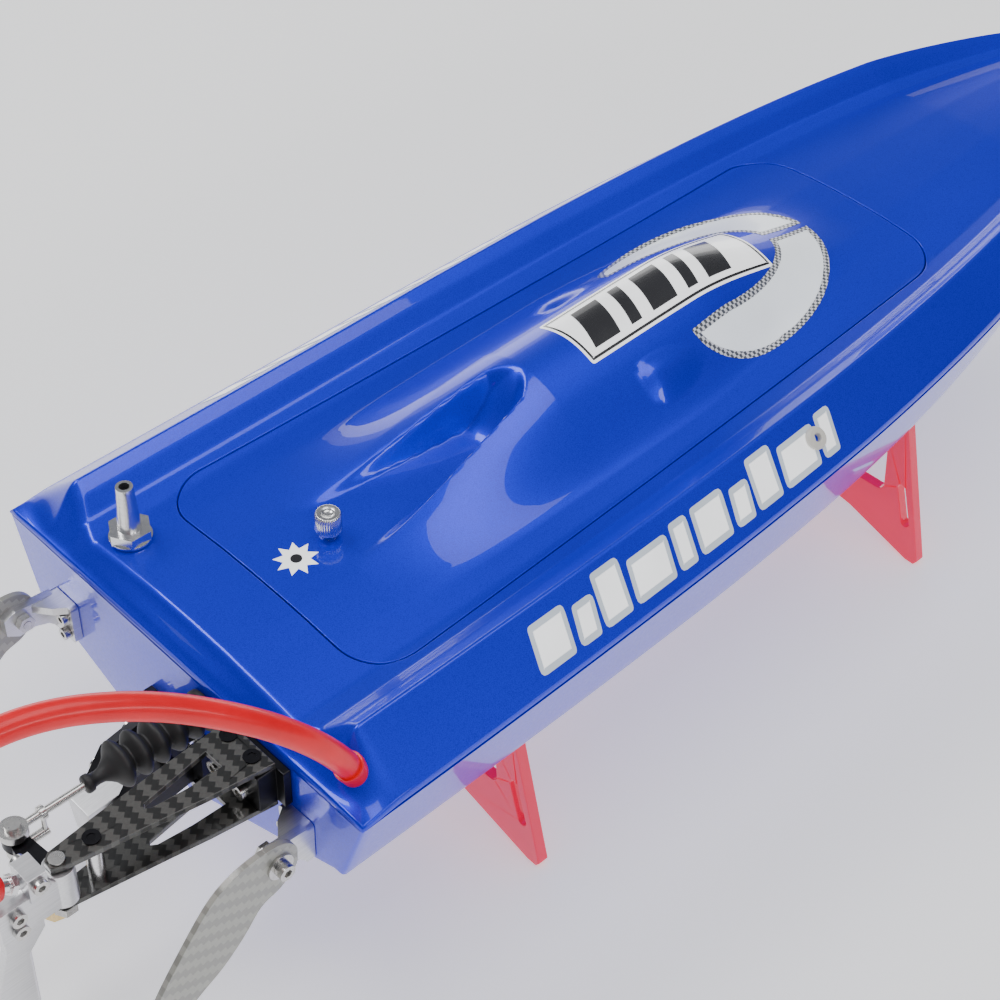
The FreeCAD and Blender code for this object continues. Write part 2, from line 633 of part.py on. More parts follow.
def bellows():
    """Ribbed rubber boot from the transom to the pushrod."""
    profile = [V(0.2, 0, 7.0), V(-2.2, 0, 7.0), V(-2.2, 0, 4.9)]
    ribs = 4
    pitch = 8.0
    for k in range(ribs):
        x = -3.4 - pitch * k
        outer = 6.9 + 0.35 * k
        profile += [V(x - 2.4, 0, outer), V(x - 4.6, 0, outer), V(x - 7.0, 0, outer - 2.4)]
    inner = PUSHROD_R + 0.1
    profile[-1] = V(-37.6, 0, 2.5)
    profile += [V(-41.0, 0, 2.2), V(-42.0, 0, 3.0), V(-BELLOWS_LENGTH, 0, 2.8), V(-BELLOWS_LENGTH, 0, inner),
                V(-36.5, 0, inner), V(-34.5, 0, 3.4), V(-2.0, 0, 3.4), V(0.2, 0, 3.4)]
    face = Part.Face(Part.makePolygon(profile + [profile[0]]))
    boot = face.revolve(V(0, 0, 0), X_AXIS, 360)
    boot.translate(V(-0.3, PUSHROD_Y, PUSHROD_Z))
    return Part.makeSolid(boot.Shells[0]) if boot.ShapeType != "Solid" else boot


def arm_plate(z):
    """Carbon plate from the transom block to the rudder pivot, with a lightening window."""
    port = [(-2.8, -30.6), (-29.0, -31.9), (-52.0, -33.5), (-69.0, -35.2), (-71.6, -37.2)]
    starboard = [(-71.8, -40.9), (-68.0, -42.4), (-40.0, -47.1), (-24.6, -49.8), (-2.8, -52.8)]
    window = [(-15.0, -36.0), (-39.4, -39.4), (-40.2, -40.8), (-38.4, -42.0), (-26.7, -43.2), (-15.0, -43.5)]
    sheet = plate([V(x, y, z) for x, y in port + starboard], V(0, 0, ARM_PLATE))
    sheet = sheet.cut(plate([V(x, y, z - 1) for x, y in window], V(0, 0, ARM_PLATE + 2)))
    for x, y in SPACERS + BLOCK_SCREWS:
        sheet = sheet.cut(rod(V(x, y, z - 1), V(x, y, z + 4), 1.55))
    return sheet.cut(rod(V(RUDDER_X, RUDDER_Y, z - 1), V(RUDDER_X, RUDDER_Y, z + 4), 2.0))


def rudder_block():
    """Black block on the transom that fills the root between the carbon plates."""
    low, high = ARM_LOW_Z + ARM_PLATE + 0.05, ARM_TOP_Z - 0.05
    foot = box(-3.0, -0.2, -56.5, -26.8, low, high)
    block = join([foot, box(-9.6, -2.9, -53.0, -30.4, low, high)])
    for x, y in BLOCK_SCREWS:
        block = block.cut(rod(V(x, y, -40), V(x, y, 10), 1.55))
    return block


def arm_spacers():
    posts = []
    for x, y in SPACERS:
        bottom, top = ARM_LOW_Z + ARM_PLATE + 0.05, ARM_TOP_Z - 0.05
        posts.append(pipe(V(x, y, bottom), V(x, y, top), 2.6, 1.55))
    return Part.makeCompound(posts)


def arm_screws():
    """Flat-headed screws through the two carbon plates, from above and below."""
    screws = []
    for x, y in SPACERS + BLOCK_SCREWS:
        over = V(x, y, ARM_TOP_Z + ARM_PLATE + 0.05)
        under = V(x, y, ARM_LOW_Z - 0.05)
        screws.append(cap_screw(over, Z_AXIS, 2.7, 0.5, 1.45, 4.0))
        screws.append(cap_screw(under, -Z_AXIS, 2.7, 0.5, 1.45, 4.0))
    return Part.makeCompound(screws)


def rudder_pin():
    top = ARM_TOP_Z + ARM_PLATE
    stem = rod(V(RUDDER_X, RUDDER_Y, ARM_LOW_Z - 1.6), V(RUDDER_X, RUDDER_Y, top + 0.3), PIVOT_R)
    head = rod(V(RUDDER_X, RUDDER_Y, top + 0.1), V(RUDDER_X, RUDDER_Y, top + 0.8), 2.4)
    nut = hexagon(V(RUDDER_X, RUDDER_Y, ARM_LOW_Z - 3.2), Z_AXIS, 6.6, 3.0)
    return join([stem, head, nut])


def rudder_yoke():
    """Barrel on the pivot pin, a clamp tail for the blade and a head block for the water nipple."""
    x, y = RUDDER_X, RUDDER_Y
    barrel = rod(V(x, y, YOKE_LOW), V(x, y, YOKE_TOP), 4.6)
    tail = box(x - 22, x - 2, y - 3.6, y + 3.6, YOKE_LOW + 0.6, YOKE_TOP - 1.0)
    head = box(x - 11.8, x - 5.8, y - 4.4, y + 4.4, YOKE_TOP - 3.0, 6.0)
    slot = box(x - 24, x - 7.5, y - 1.55, y + 1.55, YOKE_LOW - 2, YOKE_TOP - 4)
    horn_low, horn_high = PUSHROD_Z - 5.6, PUSHROD_Z - 2.2
    cavity = box(x - 5.2, x + 6, y + 1.9, y + 8, horn_low, horn_high)
    yoke = join([barrel, tail, head]).cut(slot).cut(cavity)
    return yoke.cut(rod(V(x, y, -60), V(x, y, 10), PIVOT_R + RUNNING))


def rudder_blade():
    """Blade clamped in the yoke, its leading edge bevelled below the arm."""
    x0 = RUDDER_X
    outline = [V(x0 - 8, 0, YOKE_TOP - 4.2), V(x0 - 8, 0, ARM_LOW_Z - 3), V(x0 - 13, 0, ARM_LOW_Z - 9),
               V(x0 - 14, 0, -90), V(x0 - 16.5, 0, -94), V(x0 - 28, 0, -92), V(x0 - 29, 0, -48),
               V(x0 - 21, 0, ARM_LOW_Z - 4), V(x0 - 21, 0, YOKE_TOP - 4.2)]
    blade = plate([p + V(0, RUDDER_Y - 1.5, 0) for p in outline], V(0, 3.0, 0))
    edges = [e for e in blade.Edges if abs(e.CenterOfMass.x - (x0 - 13.5)) < 0.2 and e.Length > 30]
    return blade.makeChamfer(1.2, edges)


def yoke_screws():
    """Two clamp screws through the tail and one in the head block, on each side."""
    screws = []
    for x, z, out in ((-16.5, -6.0, 3.6), (-16.5, -11.6, 3.6), (-8.8, 2.6, 4.4)):
        for side in (1, -1):
            base = V(RUDDER_X + x, RUDDER_Y + side * (out + 0.05), z)
            screws.append(cap_screw(base, Y_AXIS * side, 2.4, 1.9, 1.3, 1.8))
    return Part.makeCompound(screws)


def tiller_horn():
    """Black arm from the yoke's barrel across to the pushrod's ball link."""
    low, high = PUSHROD_Z - 5.5, PUSHROD_Z - 2.3
    arm = plate([V(RUDDER_X - 5.0, RUDDER_Y + 2.0, low), V(RUDDER_X + 4.0, RUDDER_Y + 2.0, low),
                 V(RUDDER_X + 4.2, RUDDER_Y + 9.0, low), V(RUDDER_X + 3.0, PUSHROD_Y - 3.0, low),
                 V(RUDDER_X - 3.0, PUSHROD_Y - 3.0, low), V(RUDDER_X - 5.0, RUDDER_Y + 9.0, low)],
                V(0, 0, high - low))
    tip = rod(V(RUDDER_X, PUSHROD_Y, low), V(RUDDER_X, PUSHROD_Y, high), 4.0)
    pin = rod(V(RUDDER_X, RUDDER_Y, low - 1), V(RUDDER_X, RUDDER_Y, high + 1), PIVOT_R + 2 * RUNNING)
    return join([arm, tip]).cut(pin)


def rudder_nipple():
    mouth, way = nipple_mouth()
    base = mouth - way * 8.0
    body = hexagon(base + way * 2.4, way, 5.6, 2.0)
    return join([body, rod(base - way * 1.5, mouth, 2.0)]).cut(rod(base - way * 3, mouth + way, 1.2))


# ---------------------------------------------------------------- transom hardware
def strut_bracket():
    """Anodised bracket that hangs the drive strut from the transom."""
    foot = box(-3.2, -0.2, -14.5, 14.5, -48.4, -22.5)
    cheeks = [plate([V(-3.0, y, -24), V(-24, y, -28), V(-33, y, -41), V(-36, y, -50), V(-22, y, -49),
                     V(-3.0, y, -46)], V(0, 3, 0)) for y in (-9.0, 6.0)]
    return join([rounded(foot, 1.0, X_AXIS)] + cheeks)


def strut_barrel():
    """Barrel that carries the propeller shaft, with a fin up between the cheeks."""
    barrel = pipe(V(12.2, 0, 0), V(50, 0, 0), 5.2, 3.2)
    fin = box(22, 44, -5.8, 5.8, 3.0, 20.0).cut(rod(V(0, 0, 0), V(60, 0, 0), 3.2))
    return along_shaft(join([barrel, fin]))


def strut_bushes():
    return Part.makeCompound([shaft_tube(s, s + 8, 3.15, SHAFT_R + RUNNING) for s in (12.6, 41.4)])


def strut_screws():
    screws = []
    for x, z in ((-12.0, -31.0), (-25.0, -38.0)):
        for side in (1, -1):
            screws.append(cap_screw(V(x, side * 9.1, z), Y_AXIS * side, 2.75, 2.4, 1.45, 2.8))
    return screws


def foot_screws():
    """Screws that hold the brackets to the transom."""
    screws = []
    for y, z in ((-12.0, -26.0), (12.0, -26.0), (-12.0, -45.0), (12.0, -45.0)):
        screws.append(cap_screw(V(-3.3, y, z), -X_AXIS, 1.9, 1.8, 1.1, 2.8))
    for y, z in ((-46.0, -10.6), (-34.0, -10.6)):
        screws.append(cap_screw(V(-9.7, y, z), -X_AXIS, 2.6, 2.6, 1.45, 9.2))
    for side in (1, -1):
        for y, z in FIN_FOOT_SCREWS:
            screws.append(cap_screw(V(-3.1, side * y, z), -X_AXIS, 2.2, 2.2, 1.0, 2.7))
    return screws


def transom_screws():
    return Part.makeCompound(foot_screws() + strut_screws())


def fin_bracket(side):
    """Angle bracket: foot on the transom, shelf, and an arched ear beside the fin."""
    y = FIN_Y - FIN_PLATE / 2 - 3.05
    x, z = FIN_SCREW
    foot = rounded(box(-3.0, -0.2, 53.0, y + 3, -33.0, -17.0), 1.5, X_AXIS)
    shelf = plate([V(-2.8, 54.6, -20.0), V(-7.0, 57.5, -20.0), V(-12.0, y + 1, -20.0),
                   V(-2.8, y + 1, -20.0)], V(0, 0, 3.0))
    ear = plate([V(-2.8, y, -17.0), V(x - 2, y, -15.8), V(x - 6.4, y, z + 3.6),
                 V(x - 6.4, y, z - 3.0), V(x - 2, y, z - 6.0), V(x + 4, y, z - 5.6),
                 V(-6.0, y, -28.5), V(-2.8, y, -32.0)], V(0, 3, 0))
    bracket = join([foot, shelf, ear]).cut(rod(V(x, 60, z), V(x, 80, z), 1.55))
    for hole_y, hole_z in FIN_FOOT_SCREWS:
        bracket = bracket.cut(rod(V(-5, hole_y, hole_z), V(1, hole_y, hole_z), 1.05))
    return bracket if side > 0 else bracket.mirror(V(0, 0, 0), Y_AXIS)


def turn_fin(side):
    """Swept carbon blade, drawn in side view and cut from flat plate."""
    y = FIN_Y - FIN_PLATE / 2
    upper = [V(-8.4, y, -17.5), V(-13.0, y, -12.3), V(-20.6, y, -11.6), V(-31.0, y, -13.2),
             V(-40.0, y, -18.6), V(-51.0, y, -32.0), V(-61.5, y, -46.5), V(-71.0, y, -65.0),
             V(-76.5, y, -82.0), V(-78.0, y, -95.0)]
    lower = [V(-78.0, y, -95.0), V(-68.5, y, -86.0), V(-60.0, y, -71.0), V(-50.0, y, -57.5),
             V(-38.0, y, -50.0), V(-29.5, y, -42.5), V(-22.5, y, -34.0), V(-15.0, y, -31.5), V(-8.6, y, -26.0)]
    rear, front = Part.BSplineCurve(), Part.BSplineCurve()
    rear.interpolate(upper)
    front.interpolate(lower)
    root = Part.LineSegment(lower[-1], upper[0]).toShape()
    outline = Part.Wire([rear.toShape(), front.toShape(), root])
    fin = Part.Face(outline).extrude(V(0, FIN_PLATE, 0))
    x, z = FIN_SCREW
    fin = fin.cut(rod(V(x, 60, z), V(x, 80, z), 1.55))
    return fin if side > 0 else fin.mirror(V(0, 0, 0), Y_AXIS)


def fin_screws():
    """Pivot screw, washer and nut of each turn fin."""
    x, z = FIN_SCREW
    parts = []
    for side in (1, -1):
        face = side * (FIN_Y + FIN_PLATE / 2)
        out = Y_AXIS * side
        washer = pipe(V(x, face + side * 0.05, z), V(x, face + side * 1.05, z), 4.5, 1.6)
        screw = cap_screw(V(x, face + side * 1.1, z), out, 2.75, 3.0, 1.45, 9.0)
        back = V(x, side * (FIN_Y - FIN_PLATE / 2 - 3.15), z)
        nut = hexagon(back, -out, 5.5, 2.6).cut(rod(back, back - out * 3, 1.5))
        parts += [washer, screw, nut]
    return Part.makeCompound(parts)


# ---------------------------------------------------------------- drive line
def stuffing_tube():
    return shaft_tube(50.3, 172, 3.2, 2.5)


def drive_shaft():
    return shaft_rod(-14.5, 195.8, SHAFT_R)


def drive_dog():
    body = shaft_tube(6.2, 11.9, 5.6, SHAFT_R)
    return body


def propeller():
    """Two cambered blades on a tapered hub."""
    hub = Part.makeCone(4.6, 6.0, 14.0, V(-8, 0, 0), X_AXIS).cut(rod(V(-9, 0, 0), V(7, 0, 0), SHAFT_R))
    pitch = 58.0
    blades = []
    for turn in (0, 180):
        sections = []
        for radius, chord, thick in BLADE_STATIONS:
            angle = math.atan2(pitch, 2 * math.pi * radius)
            c, s = math.cos(angle), math.sin(angle)
            a, b = chord / 2, thick / 2
            corners = [(-a, -b), (a, -b), (a, b), (-a, b)]
            sections.append([V(s * u + c * w, c * u - s * w, radius) for u, w in corners])
        blade = loft(sections)
        blade.rotate(V(0, 0, 0), X_AXIS, turn)
        blades.append(blade)
    return along_shaft(join([hub] + blades).cut(rod(V(-9, 0, 0), V(7, 0, 0), SHAFT_R)))


def propeller_nut():
    cone = Part.makeCone(3.3, 1.6, 3.0, V(-11.4, 0, 0), -X_AXIS)
    nut = hexagon(V(-8.2, 0, 0), -X_AXIS, 7.0, 3.4).fuse(cone)
    return along_shaft(nut.cut(rod(V(-15, 0, 0), V(-8, 0, 0), SHAFT_R)))


# ---------------------------------------------------------------- stand
def stand_plate(x, foot_y):
    """Cross plate of the stand: V cradle, splayed legs with slots, windows and a low arch."""
    keel, chine_y, chine_z = (span(HULL_LINES, x, k) for k in (5, 3, 4))
    rise = (chine_z - keel) / (chine_y - CHINE_FLAT)
    x0, floor, lean = x - STAND_PLATE / 2, STAND_FLOOR, 0.275
    crown = keel - STAND_GAP
    top_y = (foot_y - lean * (crown - floor)) / (1 + lean * rise)
    profile = [(0, crown), (top_y, crown + rise * top_y), (foot_y - 0.6, floor + 2.2),
               (foot_y - 2.0, floor), (foot_y - 6.0, floor), (40, floor + 9.0), (20, floor + 12.0),
               (0, floor + 13.0)]
    left = [V(x0, y, z) for y, z in profile]
    right = [V(x0, -y, z) for y, z in reversed(profile[1:-1])]
    sheet = plate(left + right, V(STAND_PLATE, 0, 0))
    for side in (1, -1):
        corners = [(foot_y - 22.0, floor + 26.0), (18.0, floor + 25.0), (18.0, crown + rise * 18.0 - 13.0),
                   (foot_y - 25.0, crown + rise * (foot_y - 25.0) - 15.0)]
        window = plate([V(x0 - 1, side * y, z) for y, z in corners], V(STAND_PLATE + 2, 0, 0))
        window = rounded(window, 3.0, X_AXIS)
        low = V(x0 - 1, side * (foot_y - 9.6), floor + 17.5)
        high = V(x0 - 1, side * (foot_y - 14.2), floor + 32.0)
        slot = Part.Face(slot_outline(low, high, 1.9)).extrude(V(STAND_PLATE + 2, 0, 0))
        sheet = sheet.cut(slot).cut(window)
    half = SPINE_HALF + 0.05
    notch = box(x0 - 1, x0 + STAND_PLATE + 1, -half, half, floor, floor + SPINE_LAP)
    return sheet.cut(notch)


def slot_outline(low, high, radius):
    """Round-ended slot between two centres in a YZ plane."""
    way = (high - low).normalize()
    side = way.cross(X_AXIS) * radius
    points = [low + side, high + side, high + way * radius, high - side, low - side, low - way * radius]
    edges = [Part.LineSegment(points[0], points[1]).toShape(),
             Part.Arc(points[1], points[2], points[3]).toShape(),
             Part.LineSegment(points[3], points[4]).toShape(),
             Part.Arc(points[4], points[5], points[0]).toShape()]
    return Part.Wire(edges)


def stand_spine():
    """Lengthwise plate, half-lapped into the two cross plates."""
    z0, z1 = STAND_FLOOR + 18.0, STAND_FLOOR + 36.0
    spine = box(STAND_X[0] - 22, STAND_X[1] + 22, -SPINE_HALF, SPINE_HALF, z0, z1)
    spine = rounded(spine, 6.0, Y_AXIS)
    for x in STAND_X:
        half = STAND_PLATE / 2 + 0.05
        spine = spine.cut(box(x - half, x + half, -4, 4, STAND_FLOOR + SPINE_LAP, z1 + 1))
    return spine


NODES = {
    "hull_shell": hull_shell,
    "deck_shell": deck_shell,
    "hatch_cover": hatch_cover,
    "hatch_seal": hatch_seal,
    "thumb_screw": thumb_screw,
    "hatch_crossbar": hatch_crossbar,
    "outlet_nipple": outlet_nipple,
    "outlet_nut": outlet_nut,
    "hose_grommet": hose_grommet,
    "side_outlet": side_outlet,
    "cooling_hose": cooling_hose,
    "motor_feed_hose": motor_feed_hose,
    "motor_return_hose": motor_return_hose,
    "motor_can": motor_can,
    "motor_rotor": motor_rotor,
    "motor_jacket": motor_jacket,
    "motor_mount": motor_mount,
    "shaft_coupler": shaft_coupler,
    "esc_case": esc_case,
    "esc_leads": esc_leads,
    "battery_port": lambda: battery(1),
    "battery_starboard": lambda: battery(-1),
    "battery_tray_port": lambda: battery_tray(1),
    "battery_tray_starboard": lambda: battery_tray(-1),
    "radio_box": radio_box,
    "radio_lid": radio_lid,
    "receiver": receiver,
    "steering_servo": steering_servo,
    "servo_mount": servo_mount,
    "servo_horn": servo_horn,
    "pushrod": pushrod,
    "pushrod_bellows": bellows,
    "rudder_block": rudder_block,
    "arm_top_plate": lambda: arm_plate(ARM_TOP_Z),
    "arm_bottom_plate": lambda: arm_plate(ARM_LOW_Z),
    "arm_spacers": arm_spacers,
    "arm_screws": arm_screws,
    "rudder_pin": rudder_pin,
    "rudder_yoke": rudder_yoke,
    "rudder_blade": rudder_blade,
    "yoke_screws": yoke_screws,
    "tiller_horn": tiller_horn,
    "rudder_nipple": rudder_nipple,
    "strut_bracket": strut_bracket,
    "strut_barrel": strut_barrel,
    "strut_bushes": strut_bushes,
    "transom_screws": transom_screws,
    "fin_bracket_port": lambda: fin_bracket(1),
    "fin_bracket_starboard": lambda: fin_bracket(-1),
    "turn_fin_port": lambda: turn_fin(1),
    "turn_fin_starboard": lambda: turn_fin(-1),
    "fin_screws": fin_screws,
    "stuffing_tube": stuffing_tube,
    "drive_shaft": drive_shaft,
    "drive_dog": drive_dog,
    "propeller": propeller,
    "propeller_nut": propeller_nut,
    "stand_plate_rear": lambda: stand_plate(STAND_X[0], STAND_FOOT_Y[0]),
    "stand_plate_front": lambda: stand_plate(STAND_X[1], STAND_FOOT_Y[1]),
    "stand_spine": stand_spine,
}


def main():
    os.makedirs("parts", exist_ok=True)
    shapes = {name: build() for name, build in NODES.items()}
    solid_box = FreeCAD.BoundBox()
    for name, shape in shapes.items():
        if name != "cooling_hose":
            solid_box.add(shape.optimalBoundingBox())
    shift = V(-solid_box.Center.x, -solid_box.Center.y, -solid_box.ZMin)
    print("nodes", len(shapes), "shift", [round(c, 4) for c in shift])
    for name, shape in shapes.items():
        shape.translate(shift)
        if not shape.isValid() or min(s.Volume for s in shape.Solids) <= 0:
            print("BAD", name)
        shape.exportStep("parts/" + name + ".step")


main()
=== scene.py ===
"""Looks of the radio-controlled racing boat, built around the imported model.

All working numbers are in millimetres from the middle of the transom's deck edge:
+X to the bow, +Y to port, +Z up.  at() turns them into metres in the row's frame.
"""
import math

import bmesh
import bpy
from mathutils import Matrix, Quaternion, Vector
from mathutils.geometry import delaunay_2d_cdt


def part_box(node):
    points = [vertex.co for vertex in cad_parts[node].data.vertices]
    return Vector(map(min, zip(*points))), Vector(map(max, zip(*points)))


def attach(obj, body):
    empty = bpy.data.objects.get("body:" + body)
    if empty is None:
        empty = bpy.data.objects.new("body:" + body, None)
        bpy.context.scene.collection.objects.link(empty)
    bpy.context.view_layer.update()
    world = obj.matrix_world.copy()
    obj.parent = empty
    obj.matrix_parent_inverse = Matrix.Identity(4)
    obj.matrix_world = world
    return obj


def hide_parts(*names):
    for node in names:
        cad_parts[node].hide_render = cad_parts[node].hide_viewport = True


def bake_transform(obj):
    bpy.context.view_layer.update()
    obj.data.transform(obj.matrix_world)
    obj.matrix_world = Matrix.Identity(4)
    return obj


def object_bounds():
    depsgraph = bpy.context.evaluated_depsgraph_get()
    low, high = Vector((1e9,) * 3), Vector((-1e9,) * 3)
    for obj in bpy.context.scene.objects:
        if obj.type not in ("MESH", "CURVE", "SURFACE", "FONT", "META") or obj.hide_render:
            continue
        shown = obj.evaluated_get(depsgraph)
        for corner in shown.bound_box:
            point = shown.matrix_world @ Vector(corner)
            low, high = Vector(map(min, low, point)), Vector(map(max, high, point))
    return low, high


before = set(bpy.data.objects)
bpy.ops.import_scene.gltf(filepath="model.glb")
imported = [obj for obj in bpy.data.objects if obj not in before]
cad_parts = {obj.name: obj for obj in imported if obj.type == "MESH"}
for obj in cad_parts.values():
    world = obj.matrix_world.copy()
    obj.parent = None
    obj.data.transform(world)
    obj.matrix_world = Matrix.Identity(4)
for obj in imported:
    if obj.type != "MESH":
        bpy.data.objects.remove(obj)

CAD_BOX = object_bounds()
MM = 0.001
KEEL_DEPTH = 62.0
hull_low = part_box("hull_shell")[0]
ORIGIN = Vector((hull_low.x, 0.0, hull_low.z + KEEL_DEPTH * MM))
X_AXIS, Y_AXIS, Z_AXIS = Vector((1, 0, 0)), Vector((0, 1, 0)), Vector((0, 0, 1))


def at(x, y, z):
    """A point given in millimetres from the transom, in the row's frame."""
    return ORIGIN + Vector((x, y, z)) * MM


# ------------------------------------------------------------------ camera
CAMERA_AZIMUTH = -45.0
CAMERA_ELEVATION = 43.1
CAMERA_ROLL = 2.1
CAMERA_PLACE = (-218.9, -356.5, 452.5)
CAMERA_LENS = 72.0


def make_camera():
    a, e = math.radians(CAMERA_AZIMUTH), math.radians(CAMERA_ELEVATION)
    back = Vector((math.sin(a) * math.cos(e), -math.cos(a) * math.cos(e), math.sin(e)))
    data = bpy.data.cameras.new("camera")
    data.lens = CAMERA_LENS
    data.sensor_width = 36.0
    data.clip_start, data.clip_end = 0.01, 50.0
    camera = bpy.data.objects.new("camera", data)
    bpy.context.scene.collection.objects.link(camera)
    turn = (-back).to_track_quat("-Z", "Y") @ Quaternion((0, 0, 1), math.radians(CAMERA_ROLL))
    camera.rotation_mode = "QUATERNION"
    camera.rotation_quaternion = turn
    camera.location = at(*CAMERA_PLACE)
    bpy.context.scene.camera = camera


make_camera()


# ------------------------------------------------------------------ materials
class Nodes:
    """Short way to wire a material's node tree."""

    def __init__(self, name):
        self.material = bpy.data.materials.new(name)
        self.material.use_nodes = True
        self.tree = self.material.node_tree
        self.shader = self.tree.nodes["Principled BSDF"]

    def add(self, kind):
        return self.tree.nodes.new(kind)

    def link(self, out, into):
        self.tree.links.new(out, into)

    def set(self, **values):
        for key, value in values.items():
            self.shader.inputs[key.replace("_", " ")].default_value = value

    def place(self, scale=(1.0, 1.0, 1.0), turn=(0.0, 0.0, 0.0)):
        """Coordinates on the piece, scaled and turned."""
        coordinates = self.add("ShaderNodeTexCoord")
        mapping = self.add("ShaderNodeMapping")
        mapping.inputs["Scale"].default_value = scale
        mapping.inputs["Rotation"].default_value = turn
        self.link(coordinates.outputs["Object"], mapping.inputs["Vector"])
        return mapping.outputs["Vector"]

    def noise(self, vector, scale, detail=3.0, roughness=0.5):
        node = self.add("ShaderNodeTexNoise")
        node.inputs["Scale"].default_value = scale
        node.inputs["Detail"].default_value = detail
        node.inputs["Roughness"].default_value = roughness
        self.link(vector, node.inputs["Vector"])
        return node.outputs["Fac"]

    def ramp(self, factor, *stops):
        node = self.add("ShaderNodeValToRGB")
        ramp = node.color_ramp
        ramp.elements[0].position, ramp.elements[0].color = stops[0][0], (*stops[0][1], 1)
        ramp.elements[1].position, ramp.elements[1].color = stops[-1][0], (*stops[-1][1], 1)
        for position, colour in stops[1:-1]:
            ramp.elements.new(position).color = (*colour, 1)
        self.link(factor, node.inputs["Fac"])
        return node.outputs["Color"]

    def math(self, operation, *values):
        node = self.add("ShaderNodeMath")
        node.operation = operation
        for slot, value in enumerate(values):
            if isinstance(value, (int, float)):
                node.inputs[slot].default_value = value
            else:
                self.link(value, node.inputs[slot])
        return node.outputs["Value"]

    def colour(self, out):
        self.link(out, self.shader.inputs["Base Color"])

    def roughness(self, factor, low, high):
        """Map a 0 to 1 factor onto a range of roughness."""
        node = self.add("ShaderNodeMapRange")
        node.inputs["To Min"].default_value = low
        node.inputs["To Max"].default_value = high
        self.link(factor, node.inputs["Value"])
        self.link(node.outputs["Result"], self.shader.inputs["Roughness"])

    def bump(self, height, strength, distance):
        node = self.add("ShaderNodeBump")
        node.inputs["Strength"].default_value = strength
        node.inputs["Distance"].default_value = distance
        self.link(height, node.inputs["Height"])
        self.link(node.outputs["Normal"], self.shader.inputs["Normal"])


def paint():
    """Metallic blue under clear lacquer: flakes, a slow tone drift, faint orange peel and a faint blue glow
    painted in to lift the shaded sides.
    """
    m = Nodes("blue_paint")
    # The blue emission is a painted glow that lifts the paint's shaded sides.
    m.set(Metallic=0.55, IOR=1.4, Coat_Weight=0.8, Coat_Roughness=0.015, Coat_IOR=1.45,
          Emission_Color=(0.0, 0.006, 1.0, 1), Emission_Strength=0.07)
    where = m.place()
    flakes = m.add("ShaderNodeTexVoronoi")
    flakes.inputs["Scale"].default_value = 3200.0
    m.link(where, flakes.inputs["Vector"])
    sparkle = m.ramp(flakes.outputs["Distance"], (0.0, (0.0, 0.035, 0.95)), (0.35, (0.0, 0.016, 0.80)),
                     (0.9, (0.0, 0.008, 0.62)))
    drift = m.ramp(m.noise(where, 14.0, 2.0), (0.35, (0.90, 0.90, 0.92)), (0.65, (1.0, 1.0, 1.0)))
    mix = m.add("ShaderNodeMix")
    mix.data_type = "RGBA"
    mix.blend_type = "MULTIPLY"
    mix.inputs["Factor"].default_value = 1.0
    m.link(sparkle, mix.inputs[6])
    m.link(drift, mix.inputs[7])
    m.colour(mix.outputs[2])
    m.roughness(m.noise(where, 900.0, 2.0), 0.30, 0.44)
    m.bump(m.noise(where, 260.0, 2.0), 0.035, 0.0004)
    return m.material


DARK_TOWS = (0.010, 0.028, 0.085)
# Pale tows: the carbon's greys raised as a painted reflection of the bright surroundings on the fins.
SHEEN_PALE_TOWS = (0.27, 0.33, 0.44)


def carbon(name, plane, tow=2.0, tilt=45.0, greys=DARK_TOWS):
    """Twill carbon fibre: two tow directions that pass over two and under two."""
    m = Nodes(name)
    m.set(Metallic=0.0, IOR=1.55, Coat_Weight=0.55, Coat_Roughness=0.12)
    turn = (0, 0, math.radians(tilt)) if plane == "xy" else (0, math.radians(tilt), 0)
    where = m.place((1.0 / (tow * MM),) * 3, turn)
    split = m.add("ShaderNodeSeparateXYZ")
    m.link(where, split.inputs["Vector"])
    u = split.outputs["X"]
    v = split.outputs["Y" if plane == "xy" else "Z"]
    cell = m.math("ADD", m.math("FLOOR", u), m.math("FLOOR", v))
    over = m.math("LESS_THAN", m.math("FLOORED_MODULO", cell, 4.0), 1.5)
    across_u = m.math("ABSOLUTE", m.math("SUBTRACT", m.math("FRACT", u), 0.5))
    across_v = m.math("ABSOLUTE", m.math("SUBTRACT", m.math("FRACT", v), 0.5))
    crown = m.add("ShaderNodeMix")
    crown.data_type = "FLOAT"
    m.link(over, crown.inputs[0])
    m.link(across_u, crown.inputs[2])
    m.link(across_v, crown.inputs[3])
    height = m.math("SUBTRACT", 1.0, m.math("MULTIPLY", crown.outputs[0], crown.outputs[0]))
    fine = m.place((60.0 / MM, 60.0 / MM, 60.0 / MM))
    thread = m.noise(fine, 0.02, 2.0)
    tone = m.math("ADD", m.math("MULTIPLY", over, 0.62), m.math("MULTIPLY", thread, 0.3))
    stops = [(place, (grey, grey, 0.9 * grey)) for place, grey in zip((0.05, 0.5, 0.95), greys)]
    m.colour(m.ramp(tone, *stops))
    m.roughness(over, 0.28, 0.5)
    m.bump(height, 0.35, 0.0002)
    return m.material


def metal(name, colour, roughness, streak=(1.0, 1.0, 1.0), bump=0.08):
    """Machined metal with tool streaks and a slightly uneven polish."""
    m = Nodes(name)
    m.set(Metallic=1.0)
    where = m.place(tuple(s * 400.0 for s in streak))
    streaks = m.noise(where, 1.0, 4.0, 0.6)
    dark = tuple(c * 0.82 for c in colour)
    m.colour(m.ramp(streaks, (0.3, dark), (0.7, colour)))
    m.roughness(m.noise(m.place((90.0, 90.0, 90.0)), 1.0, 3.0), roughness * 0.75, roughness * 1.25)
    m.bump(streaks, bump, 0.0001)
    return m.material


